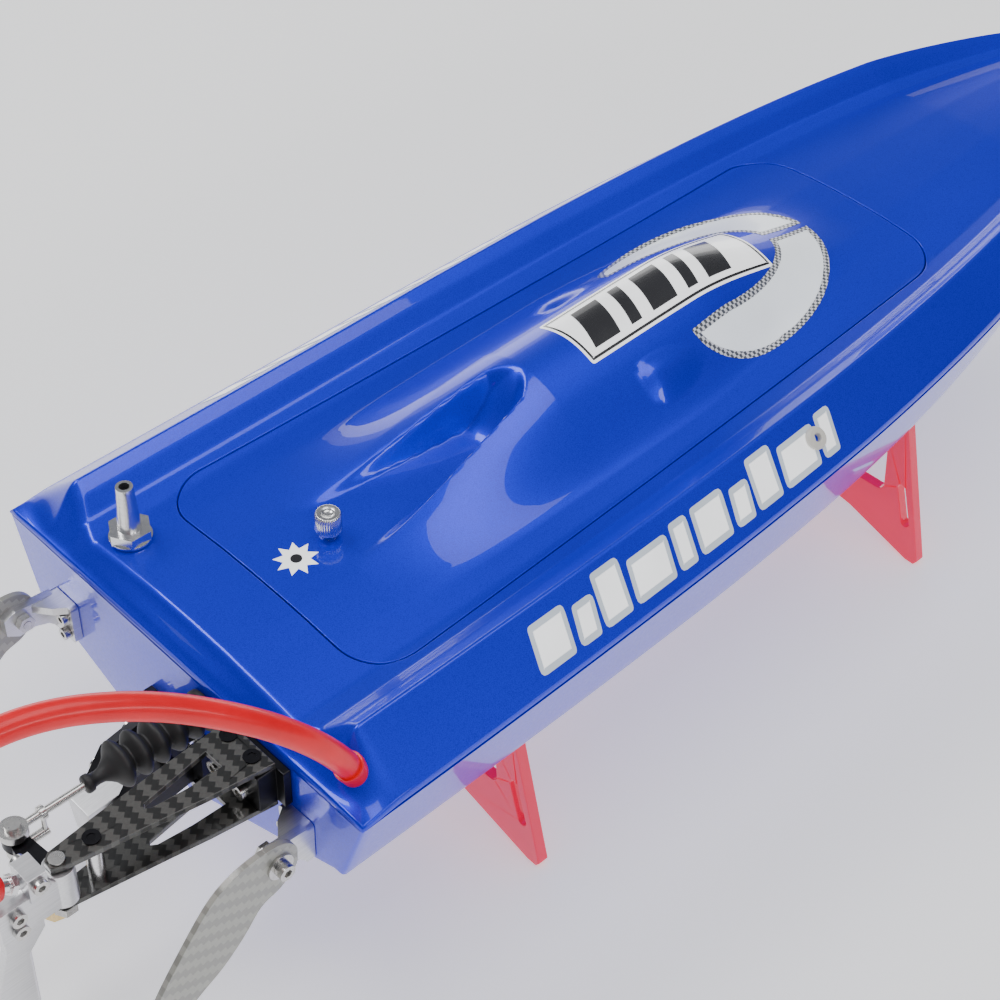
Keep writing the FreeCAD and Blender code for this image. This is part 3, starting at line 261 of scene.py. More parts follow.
def plastic(name, colour, roughness, grain=1500.0, bump=0.05, coat=0.0, metallic=0.0, painted_glow=0.0):
    """Moulded or wrapped plastic with a fine grain; the last argument sets emission in its own colour, a
    painted glow.
    """
    m = Nodes(name)
    m.set(Metallic=metallic, IOR=1.48, Coat_Weight=coat, Coat_Roughness=0.05, Emission_Color=(*colour, 1),
          # Emission in the plastic's own colour: painted glow, not a lamp.
          Emission_Strength=painted_glow)
    where = m.place()
    shade = m.noise(where, 60.0, 2.0)
    dark = tuple(c * 0.88 for c in colour)
    m.colour(m.ramp(shade, (0.35, dark), (0.65, colour)))
    m.roughness(m.noise(where, 220.0, 3.0), roughness * 0.8, roughness * 1.2)
    m.bump(m.noise(where, grain, 2.0), bump, 0.0002)
    return m.material


def silicone():
    """Soft red silicone: a satin skin, slightly see-through, with dust-fine grain and a red glow painted in
    to brighten it.
    """
    m = Nodes("red_silicone")
    # The red emission is a painted glow that brightens the silicone.
    m.set(IOR=1.42, Subsurface_Weight=0.1, Subsurface_Scale=0.002, Coat_Weight=0.2, Coat_Roughness=0.1,
          Emission_Color=(1.0, 0.0, 0.01, 1), Emission_Strength=0.1)
    m.shader.inputs["Subsurface Radius"].default_value = (1.0, 0.15, 0.1)
    where = m.place()
    m.colour(m.ramp(m.noise(where, 90.0, 3.0), (0.3, (0.70, 0.0, 0.008)), (0.7, (0.84, 0.0, 0.012))))
    m.roughness(m.noise(where, 500.0, 3.0), 0.28, 0.42)
    m.bump(m.noise(where, 1400.0, 2.0), 0.08, 0.0002)
    return m.material


def acrylic():
    """Cast red acrylic: glossy, deep and a little see-through, with a strong red glow painted in."""
    m = Nodes("red_acrylic")
    # The red emission is a painted glow that brightens the acrylic.
    m.set(IOR=1.49, Transmission_Weight=0.05, Coat_Weight=0.3, Coat_Roughness=0.03,
          Emission_Color=(1.0, 0.0, 0.09, 1), Emission_Strength=0.42)
    where = m.place()
    m.colour(m.ramp(m.noise(where, 25.0, 2.0), (0.3, (0.55, 0.0, 0.025)), (0.7, (0.70, 0.0, 0.035))))
    m.roughness(m.noise(where, 300.0, 3.0), 0.06, 0.14)
    m.bump(m.noise(where, 500.0, 2.0), 0.02, 0.0002)
    return m.material


def checker(name, dark, light, cell):
    """Fine printed checks."""
    m = Nodes(name)
    m.set(Coat_Weight=0.6, Coat_Roughness=0.06)
    pattern = m.add("ShaderNodeTexChecker")
    pattern.inputs["Scale"].default_value = 1.0 / (cell * MM)
    pattern.inputs["Color1"].default_value = (*dark, 1)
    pattern.inputs["Color2"].default_value = (*light, 1)
    m.link(m.place((1.0, 1.0, 0.0)), pattern.inputs["Vector"])
    m.colour(pattern.outputs["Color"])
    m.roughness(m.noise(m.place(), 300.0), 0.25, 0.4)
    m.bump(m.noise(m.place(), 900.0), 0.03, 0.0001)
    return m.material


def plywood():
    m = Nodes("plywood")
    m.set(Coat_Weight=0.3, Coat_Roughness=0.2)
    grain = m.noise(m.place((30.0, 500.0, 900.0)), 1.0, 5.0, 0.6)
    m.colour(m.ramp(grain, (0.3, (0.30, 0.16, 0.07)), (0.7, (0.62, 0.42, 0.22))))
    m.roughness(grain, 0.4, 0.55)
    m.bump(grain, 0.15, 0.0003)
    return m.material


PAINT = paint()
CARBON_FLAT = carbon("carbon_flat", "xy")
# The fins use the pale tows: black carbon painted light as a painted reflection.
FIN_CARBON = carbon("carbon_fin", "xz", 2.0, 20.0, SHEEN_PALE_TOWS)
ALUMINIUM = metal("aluminium", (0.86, 0.86, 0.87), 0.24, (1.0, 1.0, 6.0))
BRUSHED = metal("brushed_aluminium", (0.78, 0.78, 0.80), 0.34, (0.2, 6.0, 6.0), 0.12)
STEEL = metal("steel", (0.66, 0.65, 0.63), 0.26, (3.0, 3.0, 1.0))
BRASS = metal("brass", (0.80, 0.60, 0.27), 0.25, (2.0, 2.0, 1.0))
BLACK_METAL = metal("black_anodised", (0.028, 0.028, 0.032), 0.36, (1.0, 1.0, 3.0), 0.05)
BLUE_METAL = metal("blue_anodised", (0.03, 0.10, 0.55), 0.28, (4.0, 1.0, 1.0), 0.05)
RUBBER = plastic("black_rubber", (0.022, 0.022, 0.023), 0.55, 900.0, 0.2)
WHITE_PLASTIC = plastic("white_plastic", (0.80, 0.77, 0.70), 0.35, 1100.0, 0.08)
BLACK_PLASTIC = plastic("black_plastic", (0.02, 0.02, 0.022), 0.42, 1300.0, 0.25)
CLEAR_PLASTIC = plastic("milky_plastic", (0.62, 0.66, 0.70), 0.3, 1200.0, 0.05, 0.3)
WRAP = plastic("battery_wrap", (0.04, 0.06, 0.22), 0.28, 300.0, 0.15, 0.4)
WIRE = plastic("wire", (0.03, 0.03, 0.03), 0.5, 900.0, 0.1)
SILICONE = silicone()
ACRYLIC = acrylic()
PLYWOOD = plywood()
# The decal films' last number is a painted glow: emission that keeps the white, silver and grey prints
# bright whatever the light.
DECAL_WHITE = plastic("decal_white", (0.86, 0.87, 0.88), 0.28, 500.0, 0.03, 0.4, 0.0, 1.0)
DECAL_SILVER = plastic("decal_silver", (0.74, 0.78, 0.82), 0.30, 700.0, 0.05, 0.4, 0.1, 0.8)
DECAL_BLACK = plastic("decal_black", (0.022, 0.022, 0.025), 0.25, 600.0, 0.03, 0.7)
DECAL_GREY = plastic("decal_grey", (0.45, 0.50, 0.56), 0.3, 700.0, 0.03, 0.4, 0.0, 0.7)
CHECKS = checker("decal_checks", (0.10, 0.11, 0.13), (0.85, 0.86, 0.88), 1.15)


# ------------------------------------------------------------------ mesh helpers
def show(mesh, material, body, nodes):
    """Put a mesh in the scene, riding on a body and standing for CAD nodes where it has them."""
    mesh.materials.append(material)
    piece = bpy.data.objects.new(mesh.name, mesh)
    bpy.context.scene.collection.objects.link(piece)
    if body:
        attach(piece, body)
    if nodes:
        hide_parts(*nodes)
    return piece


def smooth_mesh(name, verts, faces, merge):
    """Smooth-shaded mesh from millimetre points, faces turned outwards."""
    mesh = bpy.data.meshes.new(name)
    mesh.from_pydata([tuple(at(*v)) for v in verts], [], faces)
    bm = bmesh.new()
    if merge:
        mesh.validate()
    bm.from_mesh(mesh)
    if merge:
        bmesh.ops.remove_doubles(bm, verts=bm.verts, dist=1e-6)
    bmesh.ops.recalc_face_normals(bm, faces=bm.faces)
    bm.to_mesh(mesh)
    bm.free()
    mesh.shade_smooth()
    return mesh


def new_piece(name, verts, faces, material, body, nodes=()):
    return show(smooth_mesh(name, verts, faces, True), material, body, nodes)


def crisp(piece, width=0.25, segments=2, angle=35.0):
    """Small rounded edges that catch the light."""
    bevel = piece.modifiers.new("edges", "BEVEL")
    bevel.width = width * MM
    bevel.segments = segments
    bevel.limit_method = "ANGLE"
    bevel.angle_limit = math.radians(angle)
    bevel.harden_normals = False
    piece.modifiers.new("normals", "WEIGHTED_NORMAL").keep_sharp = True
    return piece


def strips(rows, closed=False):
    """Quad faces between successive rows of point indices laid out one after another."""
    faces, width = [], len(rows[0])
    for i in range(len(rows) - 1):
        for j in range(width - (0 if closed else 1)):
            a, b = rows[i][j], rows[i][(j + 1) % width]
            c, d = rows[i + 1][(j + 1) % width], rows[i + 1][j]
            faces.append((a, b, c, d))
    return faces


def grid_piece(name, rows, material, body, nodes=(), closed=False, caps=False):
    verts = [p for row in rows for p in row]
    width = len(rows[0])
    index = [[i * width + j for j in range(width)] for i in range(len(rows))]
    faces = strips(index, closed)
    if caps:
        faces += [tuple(index[0]), tuple(reversed(index[-1]))]
    return new_piece(name, verts, faces, material, body, nodes)


def frame_of(axis):
    """Two unit vectors square to an axis."""
    axis = Vector(axis).normalized()
    side = Z_AXIS.cross(axis)
    if side.length < 1e-3:
        side = Y_AXIS.cross(axis)
    side.normalize()
    return side, axis.cross(side)


def lathe(name, base, axis, profile, material, body, nodes=(), turns=48, shape=None):
    """Turned piece: profile is (radius, height) pairs along axis from base."""
    base, axis = Vector(base), Vector(axis).normalized()
    u, v = frame_of(axis)
    rows = []
    for radius, height in profile:
        row = []
        for k in range(turns):
            angle = 2 * math.pi * k / turns
            r = radius if shape is None else shape(radius, angle, height)
            row.append(tuple(base + axis * height + (u * math.cos(angle) + v * math.sin(angle)) * r))
        rows.append(row)
    return grid_piece(name, rows, material, body, nodes, closed=True, caps=True)


def tube_rows(points, radius, around=20):
    """Rings of points along a line, carried round bends without twist."""
    points = [Vector(p) for p in points]
    rows, side = [], None
    for i, p in enumerate(points):
        way = (points[min(i + 1, len(points) - 1)] - points[max(i - 1, 0)]).normalized()
        if side is None:
            side = frame_of(way)[0]
        side = (side - way * side.dot(way)).normalized()
        other = way.cross(side)
        rows.append([tuple(p + (side * math.cos(t) + other * math.sin(t)) * radius)
                     for t in (2 * math.pi * k / around for k in range(around))])
    return rows


def flatten(loops):
    """Points of several closed loops in one list, and their edges as pairs of places in it."""
    flat, edges = [], []
    for loop in loops:
        start = len(flat)
        flat += [Vector(p) for p in loop]
        edges += [(start + i, start + (i + 1) % len(loop)) for i in range(len(loop))]
    return flat, edges


def inner_triangles(points, triangles, loops):
    return [t for t in triangles if inside_loops(sum((points[i] for i in t), Vector((0, 0))) / 3, loops)]


def sheet_faces(kept, count):
    """Both faces of a sheet of triangles and the walls round its border."""
    faces = [tuple(t) for t in kept] + [tuple(i + count for i in reversed(t)) for t in kept]
    border = dict.fromkeys((a, b) for t in kept for a, b in ((t[0], t[1]), (t[1], t[2]), (t[2], t[0])))
    return faces + [(b, a, a + count, b + count) for a, b in border if (b, a) not in border]


def upright_plate(name, loops, low, high, material, body, nodes):
    """Plate from an x-z outline with holes, from low to high in y."""
    flat, edges = flatten(loops)
    points, _, triangles, _, _, _ = delaunay_2d_cdt(flat, edges, [], 0, 1e-6)
    verts = [(p.x, y, p.y) for y in (low, high) for p in points]
    faces = sheet_faces(inner_triangles(points, triangles, loops), len(points))
    return new_piece(name, verts, faces, material, body, nodes)


def inside_loops(point, loops):
    """Even-odd test of a point against a set of closed loops."""
    odd = False
    for loop in loops:
        for (x0, y0), (x1, y1) in zip(loop, loop[1:] + loop[:1]):
            if (y0 > point.y) != (y1 > point.y) and point.x < (x1 - x0) * (point.y - y0) / (y1 - y0) + x0:
                odd = not odd
    return odd


CIRCLE_POINTS = 28


def circle(x, y, r, count=CIRCLE_POINTS):
    return [(x + r * math.cos(2 * math.pi * k / count), y + r * math.sin(2 * math.pi * k / count))
            for k in range(count)]


def rounded_loop(corners, radius, count=6):
    """Closed outline with every corner rounded."""
    out = []
    for i, corner in enumerate(corners):
        here = Vector(corner)
        before, after = Vector(corners[i - 1]) - here, Vector(corners[(i + 1) % len(corners)]) - here
        reach = radius / math.tan(before.angle(after) / 2)
        reach = min(reach, 0.48 * before.length, 0.48 * after.length)
        a, b = here + before.normalized() * reach, here + after.normalized() * reach
        for k in range(count + 1):
            t = k / count
            out.append(tuple(a * (1 - t) ** 2 + here * 2 * t * (1 - t) + b * t * t))
    return out


def curve_loop(points, step):
    """Smooth closed curve through a few points."""
    out, n = [], len(points)
    for i in range(n):
        p0, p1, p2, p3 = (Vector(points[(i + k) % n]) for k in (-1, 0, 1, 2))
        for k in range(step):
            t = k / step
            out.append(tuple(0.5 * (2 * p1 + (p2 - p0) * t + (2 * p0 - 5 * p1 + 4 * p2 - p3) * t * t
                                    + (3 * p1 - p0 - 3 * p2 + p3) * t ** 3)))
    return out


# ------------------------------------------------------------------ hull lines
# station, half beam, deck edge height, chine half breadth, chine height, keel height
HULL_LINES = [
    (0, 88.0, 0.0, 78.0, -30.6, -62.0), (60, 87.8, 1.3, 77.8, -30.4, -62.0),
    (120, 87.3, 3.3, 77.2, -29.8, -62.0), (180, 86.2, 5.9, 75.8, -28.8, -62.0),
    (240, 83.5, 8.8, 72.6, -27.0, -61.6), (300, 77.5, 12.0, 66.0, -24.0, -60.2),
    (350, 69.0, 14.8, 57.0, -20.0, -57.2), (395, 57.5, 17.3, 45.5, -14.5, -51.0),
    (430, 45.0, 19.2, 34.0, -8.5, -42.5), (460, 31.5, 20.8, 22.5, -2.0, -31.0),
    (485, 18.0, 22.1, 11.8, 5.0, -17.0), (500, 8.5, 22.9, 5.0, 11.0, -5.0),
    (508, 2.5, 23.3, 1.3, 16.0, 5.0)]
FULL_BEAM, SHELL, TRANSOM, CHINE_FLAT, KEEL_LIFT = 88.0, 1.5, 2.4, 2.8, 1.65
# distance from the centreline at full beam, height above the deck edge
DECK_SECTION = [(0, 10.0), (18, 9.7), (36, 8.4), (50, 7.0), (58, 8.6), (64, 13.6), (69, 16.5), (88, 0.0)]
CREASE_ROUND = 0.9
PAST_EDGE = 0.434  # half the slope of the section's last stretch, which carries on past full beam
DECK_EDGE, DECK_BAND, DECK_BAND_SIDE, DECK_FADE_BEAM = 1.5, 9.0, 7.0, 60.0
HATCH_X0, HATCH_X1, HATCH_REAR_HALF, HATCH_FRONT_HALF, HATCH_CORNER = 34.5, 317.0, 54.0, 45.0, 17.0
HATCH_SKIN, HATCH_SEAM = 1.2, 0.45
CANOPY_X0, CANOPY_HEAD, CANOPY_ROOF, CANOPY_X1 = 60.0, 146.0, 215.0, 306.0
CANOPY_HEIGHT, CANOPY_HALF = 20.0, 41.0
CHANNEL_HALF, CHANNEL_FLARE, CHANNEL_WALL, CHANNEL_RAMP = 8.5, 9.0, 4.8, 22.0
SCOOP_X, SCOOP_Y, SCOOP_NOSE, SCOOP_TAIL, SCOOP_WIDTH, SCOOP_HEIGHT = 184.0, 26.5, 22.0, 7.0, 7.5, 3.0
THUMB_X = 62.0


def span(x, column):
    """Smooth value of one hull line at station x."""
    last = len(HULL_LINES) - 1
    i = 0
    while i < last - 1 and x > HULL_LINES[i + 1][0]:
        i += 1

    def slope(k):
        a, b = HULL_LINES[max(k - 1, 0)], HULL_LINES[min(k + 1, last)]
        return (b[column] - a[column]) / (b[0] - a[0])
    width = HULL_LINES[i + 1][0] - HULL_LINES[i][0]
    t = min(max((x - HULL_LINES[i][0]) / width, 0.0), 1.0)
    p0, p1 = HULL_LINES[i][column], HULL_LINES[i + 1][column]
    m0, m1 = slope(i) * width, slope(i + 1) * width
    return ((2 * t**3 - 3 * t**2 + 1) * p0 + (t**3 - 2 * t**2 + t) * m0
            + (3 * t**2 - 2 * t**3) * p1 + (t**3 - t**2) * m1)


def smooth(t):
    t = min(max(t, 0.0), 1.0)
    return t * t * (3 - 2 * t)


def section_area(reach):
    """Running integral of the deck section, for rounding its creases."""
    total = 0.0
    for (y0, z0), (y1, z1) in zip(DECK_SECTION, DECK_SECTION[1:]):
        if reach <= y0:
            break
        t = min(reach, y1) - y0
        total += z0 * t + (z1 - z0) / (y1 - y0) * t * t / 2
    if reach > FULL_BEAM:
        total -= (reach - FULL_BEAM)**2 * PAST_EDGE
    return total


def section(reach):
    low, high = reach - CREASE_ROUND, reach + CREASE_ROUND
    below = section_area(low) if low >= 0 else -section_area(-low)
    return (section_area(high) - below) / (2 * CREASE_ROUND)


def deck_top(x, y):
    """Height of the deck's upper face."""
    x = min(max(x, 0.0), HULL_LINES[-1][0])
    beam = span(x, 1)
    reach = abs(y) * FULL_BEAM / beam
    band = DECK_BAND + DECK_BAND_SIDE * smooth((reach - 50.0) / 19.0)
    rise = smooth(x / band) * min(1.0, beam / DECK_FADE_BEAM)
    return span(x, 2) + DECK_EDGE + section(reach) * rise


def canopy(x, y):
    """Height that the canopy and its two aft buttresses add to the hatch."""
    climb = min(max((x - CANOPY_X0) / (CANOPY_HEAD - CANOPY_X0), 0.0), 1.0)
    aft = 0.4 * climb + 0.6 * smooth(climb)
    front = smooth((CANOPY_X1 - x) / (CANOPY_X1 - CANOPY_ROOF))
    half = CANOPY_HALF * (0.62 + 0.38 * smooth((CANOPY_X1 - x) / 120.0))
    across = min(abs(y) / half, 1.0)
    body = CANOPY_HEIGHT * aft * front * (1 - across**2)**1.6
    wall = 1.0
    behind = CANOPY_HEAD - x
    if behind > 0:
        channel = (CHANNEL_HALF * math.sqrt(min(behind / 9.0, 1.0))
                   + CHANNEL_FLARE * behind / (CANOPY_HEAD - CANOPY_X0))
        wall = 1.0 - smooth((channel - abs(y)) / CHANNEL_WALL) * smooth(behind / CHANNEL_RAMP)
    reach = SCOOP_NOSE if x > SCOOP_X else SCOOP_TAIL
    scoop = ((x - SCOOP_X) / reach)**2 + ((abs(y) - SCOOP_Y) / SCOOP_WIDTH)**2
    return body * wall + SCOOP_HEIGHT * max(0.0, 1 - scoop)**1.5


def hatch_top(x, y):
    return deck_top(x, y) + canopy(x, y)


def normal_of(top, x, y, step=0.25):
    dx = (top(x + step, y) - top(x - step, y)) / (2 * step)
    dy = (top(x, y + step) - top(x, y - step)) / (2 * step)
    return Vector((-dx, -dy, 1.0)).normalized()


# ------------------------------------------------------------------ moulded skins
def outward(loop, sign):
    """Unit normals of a closed 2-D loop; sign +1 points away from its inside."""
    area = sum(a[0] * b[1] - b[0] * a[1] for a, b in zip(loop, loop[1:] + loop[:1]))
    turn = sign if area > 0 else -sign
    normals = []
    for i, here in enumerate(loop):
        before, after = Vector(loop[i - 1]), Vector(loop[(i + 1) % len(loop)])
        here = Vector(here)
        a, b = (here - before).normalized(), (after - here).normalized()
        way = (a + b).normalized()
        stretch = 1.0 / max(way.dot(a), 0.7)
        normals.append(Vector((way.y, -way.x)) * turn * stretch)
    return normals


def skin(name, loops, lattice, links, top, depth, material, body, nodes=()):
    """Closed moulded sheet over a 2-D region.

    loops holds (points, rolls): the first is the outline, the others are holes.  A roll is
    (offset outwards from the material, drop, share of sideways normal, follow): rings that
    carry each edge round and down to the underside.
    """
    outlines = [points for points, _ in loops]
    flat, edges = flatten(outlines)
    start = len(flat)
    flat += [Vector(p) for p in lattice]
    edges += [(a + start, b + start) for a, b in links]
    points, _, triangles, origins, _, _ = delaunay_2d_cdt(flat, edges, [], 0, 1e-5)
    kept = inner_triangles(points, triangles, outlines)
    used = sorted({i for t in kept for i in t})
    number = {old: new for new, old in enumerate(used)}
    place = {origins[i][0]: number[i] for i in used if origins[i]}
    verts = [(points[i].x, points[i].y, top(points[i].x, points[i].y)) for i in used]
    normals = [normal_of(top, x, y) for x, y, _ in verts]
    count = len(verts)
    verts += [(x, y, z - depth) for x, y, z in verts[:count]]
    normals += [-n for n in normals[:count]]
    faces = [tuple(number[i] for i in t) for t in kept]
    faces += [tuple(i + count for i in reversed(t)) for t in faces[:]]
    start = 0
    for k, (loop, rolls) in enumerate(loops):
        ways = outward(loop, 1 if k == 0 else -1)
        ring = [place[start + i] for i in range(len(loop))]
        rings = [ring]
        for offset, drop, share, follow in rolls:
            row = []
            for (x, y), way, at_top in zip(loop, ways, ring):
                px, py = x + way.x * offset, y + way.y * offset
                height = top(px, py) if follow else verts[at_top][2]
                row.append(len(verts))
                verts.append((px, py, height - drop))
                side = Vector((way.x, way.y, 0.0)).normalized()
                normals.append((normals[at_top] * (1 - abs(share)) + side * share).normalized())
            rings.append(row)
        rings.append([i + count for i in ring])
        for upper, lower in zip(rings, rings[1:]):
            for i in range(len(loop)):
                j = (i + 1) % len(loop)
                faces.append((upper[i], upper[j], lower[j], lower[i]))
        start += len(loop)
    mesh = smooth_mesh(name, verts, faces, False)
    mesh.normals_split_custom_set_from_vertices([tuple(n) for n in normals])
    return show(mesh, material, body, nodes)


def hatch_outline(grow):
    """Outline of the hatch, grown by a margin, with evenly spaced points."""
    x0, x1 = HATCH_X0 - grow, HATCH_X1 + grow
    rear, front = HATCH_REAR_HALF + grow, HATCH_FRONT_HALF + grow
    corners = [(x0, -rear), (x1, -front), (x1, front), (x0, rear)]
    radius = HATCH_CORNER + grow
    out = []
    for i, corner in enumerate(corners):
        here = Vector(corner)
        before = (Vector(corners[i - 1]) - here).normalized()
        after = (Vector(corners[(i + 1) % 4]) - here).normalized()
        half = before.angle(after) / 2
        centre = here + (before + after).normalized() * (radius / math.sin(half))
        first = here + before * (radius / math.tan(half)) - centre
        last = here + after * (radius / math.tan(half)) - centre
        sweep = first.angle(last)
        for k in range(13):
            t = sweep * k / 12
            arc = Vector((first.x * math.cos(t) - first.y * math.sin(t),
                          first.x * math.sin(t) + first.y * math.cos(t)))
            out.append(tuple(centre + arc))
    return resample(out, 2.2)


def resample(loop, step):
    """Split the long sides of a loop into short ones."""
    out = []
    for a, b in zip(loop, loop[1:] + loop[:1]):
        a, b = Vector(a), Vector(b)
        count = max(1, round((b - a).length / step))
        out += [tuple(a.lerp(b, k / count)) for k in range(count)]
    return out


def near_loop(loop, gap):
    """Quick test for points closer than gap to a loop."""
    cell = {}
    for p in resample(loop, gap * 0.7):
        cell.setdefault((int(p[0] // gap), int(p[1] // gap)), []).append(p)

    def test(x, y):
        i, j = int(x // gap), int(y // gap)
        return any((x - p[0])**2 + (y - p[1])**2 < gap * gap
                   for a in (i - 1, i, i + 1) for b in (j - 1, j, j + 1) for p in cell.get((a, b), ()))
    return test


def steps(*runs):
    """Values along successive (end, step) runs from the first number."""
    values = [runs[0]]
    for end, step in runs[1:]:
        count = max(1, round((end - values[-1]) / step))
        values += [values[-1] + (end - values[-1]) * k / count for k in range(1, count + 1)]
    return values


RIM = 1.3
DECK_X = steps(RIM, (20, 1.1), (36, 3.0), (320, 4.0), (440, 5.0), (500, 3.0))
DECK_REACH = steps(0, (48, 4.0), (52, 1.0), (56, 1.4), (60, 0.8), (62, 1.0), (66, 0.9), (71.5, 0.7),
                   (84, 3.0))


def build_deck():
    stations = steps(RIM, (320, 4.0), (440, 4.0), (490, 2.0), (506, 1.2))
    side = [(x, span(x, 1) - RIM) for x in stations]
    stern = [(RIM, y) for y in steps(-side[0][1], (side[0][1], 3.0))[1:-1]]
    outline = [(x, -y) for x, y in side] + [(x, y) for x, y in reversed(side)] + list(reversed(stern))
    opening = hatch_outline(HATCH_SEAM + 0.35)
    avoid = [near_loop(outline, 1.0), near_loop(opening, 1.1)]
    lattice, links = [], []
    for sign in (-1, 1):
        for r in DECK_REACH:
            if sign < 0 and r == 0:
                continue
            before = None
            for x in DECK_X:
                y = sign * r * span(x, 1) / FULL_BEAM
                free = not inside_loops(Vector((x, y)), [opening]) and abs(y) < span(x, 1) - RIM - 0.5
                if not free or any(test(x, y) for test in avoid):
                    before = None
                    continue
                lattice.append((x, y))
                if before is not None:
                    links.append((before, len(lattice) - 1))
                before = len(lattice) - 1
    rim = [(0.55, 0.22, 0.45, False), (1.0, 0.62, 0.75, False), (RIM, 1.15, 1.0, False),
           (RIM, 1.42, 1.0, False)]
    lip = [(0.22, 0.06, 0.5, True), (0.35, 0.3, 1.0, True), (0.35, 2.5, 1.0, True),
           (7.8, 2.5, 0.0, True), (7.8, 4.0, 1.0, True), (-1.9, 4.0, -1.0, True), (-1.9, 1.6, -1.0, True)]
    return skin("deck_moulding", [(outline, rim), (opening, lip)], lattice, links, deck_top,
                DECK_EDGE - 0.05, PAINT, "hull", ("deck_shell",))


def build_hatch():
    outline = hatch_outline(-0.35)
    hole = circle(THUMB_X, 0, 2.0, 24)
    avoid = [near_loop(outline, 0.9), near_loop(hole, 0.8)]
    xs = steps(HATCH_X0 + 1, (54, 2.2), (150, 0.9), (HATCH_X1 - 1, 2.4))
    ys = steps(0, (36, 0.9), (54, 1.4))
    lattice = []
    for x in xs:
        for y in sorted({-v for v in ys} | set(ys)):
            if inside_loops(Vector((x, y)), [outline, hole]) and not any(test(x, y) for test in avoid):
                lattice.append((x, y))
    edge = [(0.22, 0.06, 0.5, True), (0.35, 0.32, 1.0, True)]
    hole_edge = [(0.1, 0.1, 0.8, True)]
    return skin("hatch_moulding", [(outline, edge), (hole, hole_edge)], lattice, [], hatch_top,
                HATCH_SKIN, PAINT, "hatch", ("hatch_cover",))


def hull_half(x, inset, lift):
    """Points of half a hull section from the deck edge to the keel, its corners rounded."""
    beam, edge = span(x, 1) - inset, span(x, 2)
    chine_y, chine_z, keel = span(x, 3), span(x, 4), span(x, 5)
    outer = max(chine_y - inset, 0.3)
    inner = max(outer - min(CHINE_FLAT, 0.4 * chine_y), 0.2)
    corners = [Vector((max(beam, 0.4), edge + lift)), Vector((outer, chine_z + inset)),
               Vector((inner, chine_z + inset)), Vector((0, keel + inset * KEEL_LIFT / SHELL))]
    points = [corners[0], corners[0].lerp(corners[1], 0.012)]
    points += [corners[0].lerp(corners[1], t) for t in (0.03, 0.12, 0.25, 0.4, 0.55, 0.7, 0.85)]
    for here, before, after, radius in ((corners[1], corners[0], corners[2], 0.7),
                                        (corners[2], corners[1], corners[3], 0.9)):
        reach = min(radius, 0.35 * (before - here).length, 0.35 * (after - here).length)
        a, b = here + (before - here).normalized() * reach, here + (after - here).normalized() * reach
        points += [a * (1 - t)**2 + here * 2 * t * (1 - t) + b * t * t for t in (0, 0.33, 0.67, 1)]
    points += [corners[2].lerp(corners[3], t) for t in (0.15, 0.3, 0.45, 0.6, 0.75, 0.88, 0.96, 0.985)]
    keel_round = min(1.2, 0.3 * inner)
    tip = corners[3] + (corners[2] - corners[3]).normalized() * keel_round
    points[-1] = tip
    points.append(Vector((keel_round * 0.35, corners[3].y + (tip.y - corners[3].y) * 0.42)))
    return points


def hull_ring(x, inset=0.0, lift=0.0):
    half = hull_half(x, inset, lift)
    keel = span(x, 5) + inset * KEEL_LIFT / SHELL
    middle = [(0.0, keel + (half[-1].y - keel) * 0.6)]
    return [(p.x, p.y) for p in half] + middle + [(-p.x, p.y) for p in reversed(half)]


def build_hull():
    stations = steps(1.4, (20, 4.0), (400, 8.0), (480, 5.0), (508, 2.0))
    outer = [[(0.0, y, z) for y, z in hull_ring(0.0, 1.4, -0.25)],
             [(0.12, y, z) for y, z in hull_ring(0.0, 0.85, -0.2)],
             [(0.5, y, z) for y, z in hull_ring(0.0, 0.35, -0.12)]]
    outer += [[(x, y, z) for y, z in hull_ring(x)] for x in stations]
    inner_stations = [TRANSOM] + [x for x in stations if TRANSOM < x < 497]
    inner = [[(x, y, z) for y, z in hull_ring(x, SHELL, 0.0)] for x in inner_stations]
    width = len(outer[0])
    verts = [p for row in outer + inner for p in row]
    count = len(outer) * width
    out_index = [[i * width + j for j in range(width)] for i in range(len(outer))]
    in_index = [[count + i * width + j for j in range(width)] for i in range(len(inner))]
    faces = strips(out_index) + strips(in_index) + [tuple(out_index[-1]), tuple(in_index[-1])]
    for side in (0, width - 1):
        inside = [row[side] for row in in_index]
        outside = [row[side] for row in out_index]
        shift = len(outside) - len(inside)
        for k in range(len(inside) - 1):
            o = min(k + 3, len(outside) - 2)
            faces.append((outside[o], outside[o + 1], inside[k + 1], inside[k]))
        faces.append(tuple(outside[:4]) + (inside[0],))
        if shift > 3:
            faces.append(tuple(outside[-(shift - 3) - 1:]) + (inside[-1],))
    holes = [circle(PUSHROD_Y, PUSHROD_Z, 3.2), circle(0, STERN_TUBE_Z, 3.4)]
    rims = []
    for index, x in ((out_index[0], 0.0), (in_index[0], TRANSOM)):
        ring = [(verts[i][1], verts[i][2]) for i in index]
        loops = [ring] + holes
        flat, edges = flatten(loops)
        points, _, triangles, origins, _, _ = delaunay_2d_cdt(flat, edges, [], 0, 1e-6)
        number = {}
        for i, p in enumerate(points):
            if origins[i] and origins[i][0] < len(ring):
                number[i] = index[origins[i][0]]
            else:
                number[i] = len(verts)
                verts.append((x, p.x, p.y))
        back = {origins[i][0]: number[i] for i in range(len(points)) if origins[i]}
        rims.append([[back[len(ring) + CIRCLE_POINTS * h + k] for k in range(CIRCLE_POINTS)]
                     for h in range(len(holes))])
        faces += [tuple(number[i] for i in t) for t in inner_triangles(points, triangles, loops)]
    for outside, inside in zip(*rims):
        faces += [(outside[k - 1], outside[k], inside[k], inside[k - 1]) for k in range(CIRCLE_POINTS)]
    piece = new_piece("hull_moulding", verts, faces, PAINT, "hull", ("hull_shell",))
    piece.data.set_sharp_from_angle(angle=math.radians(40))


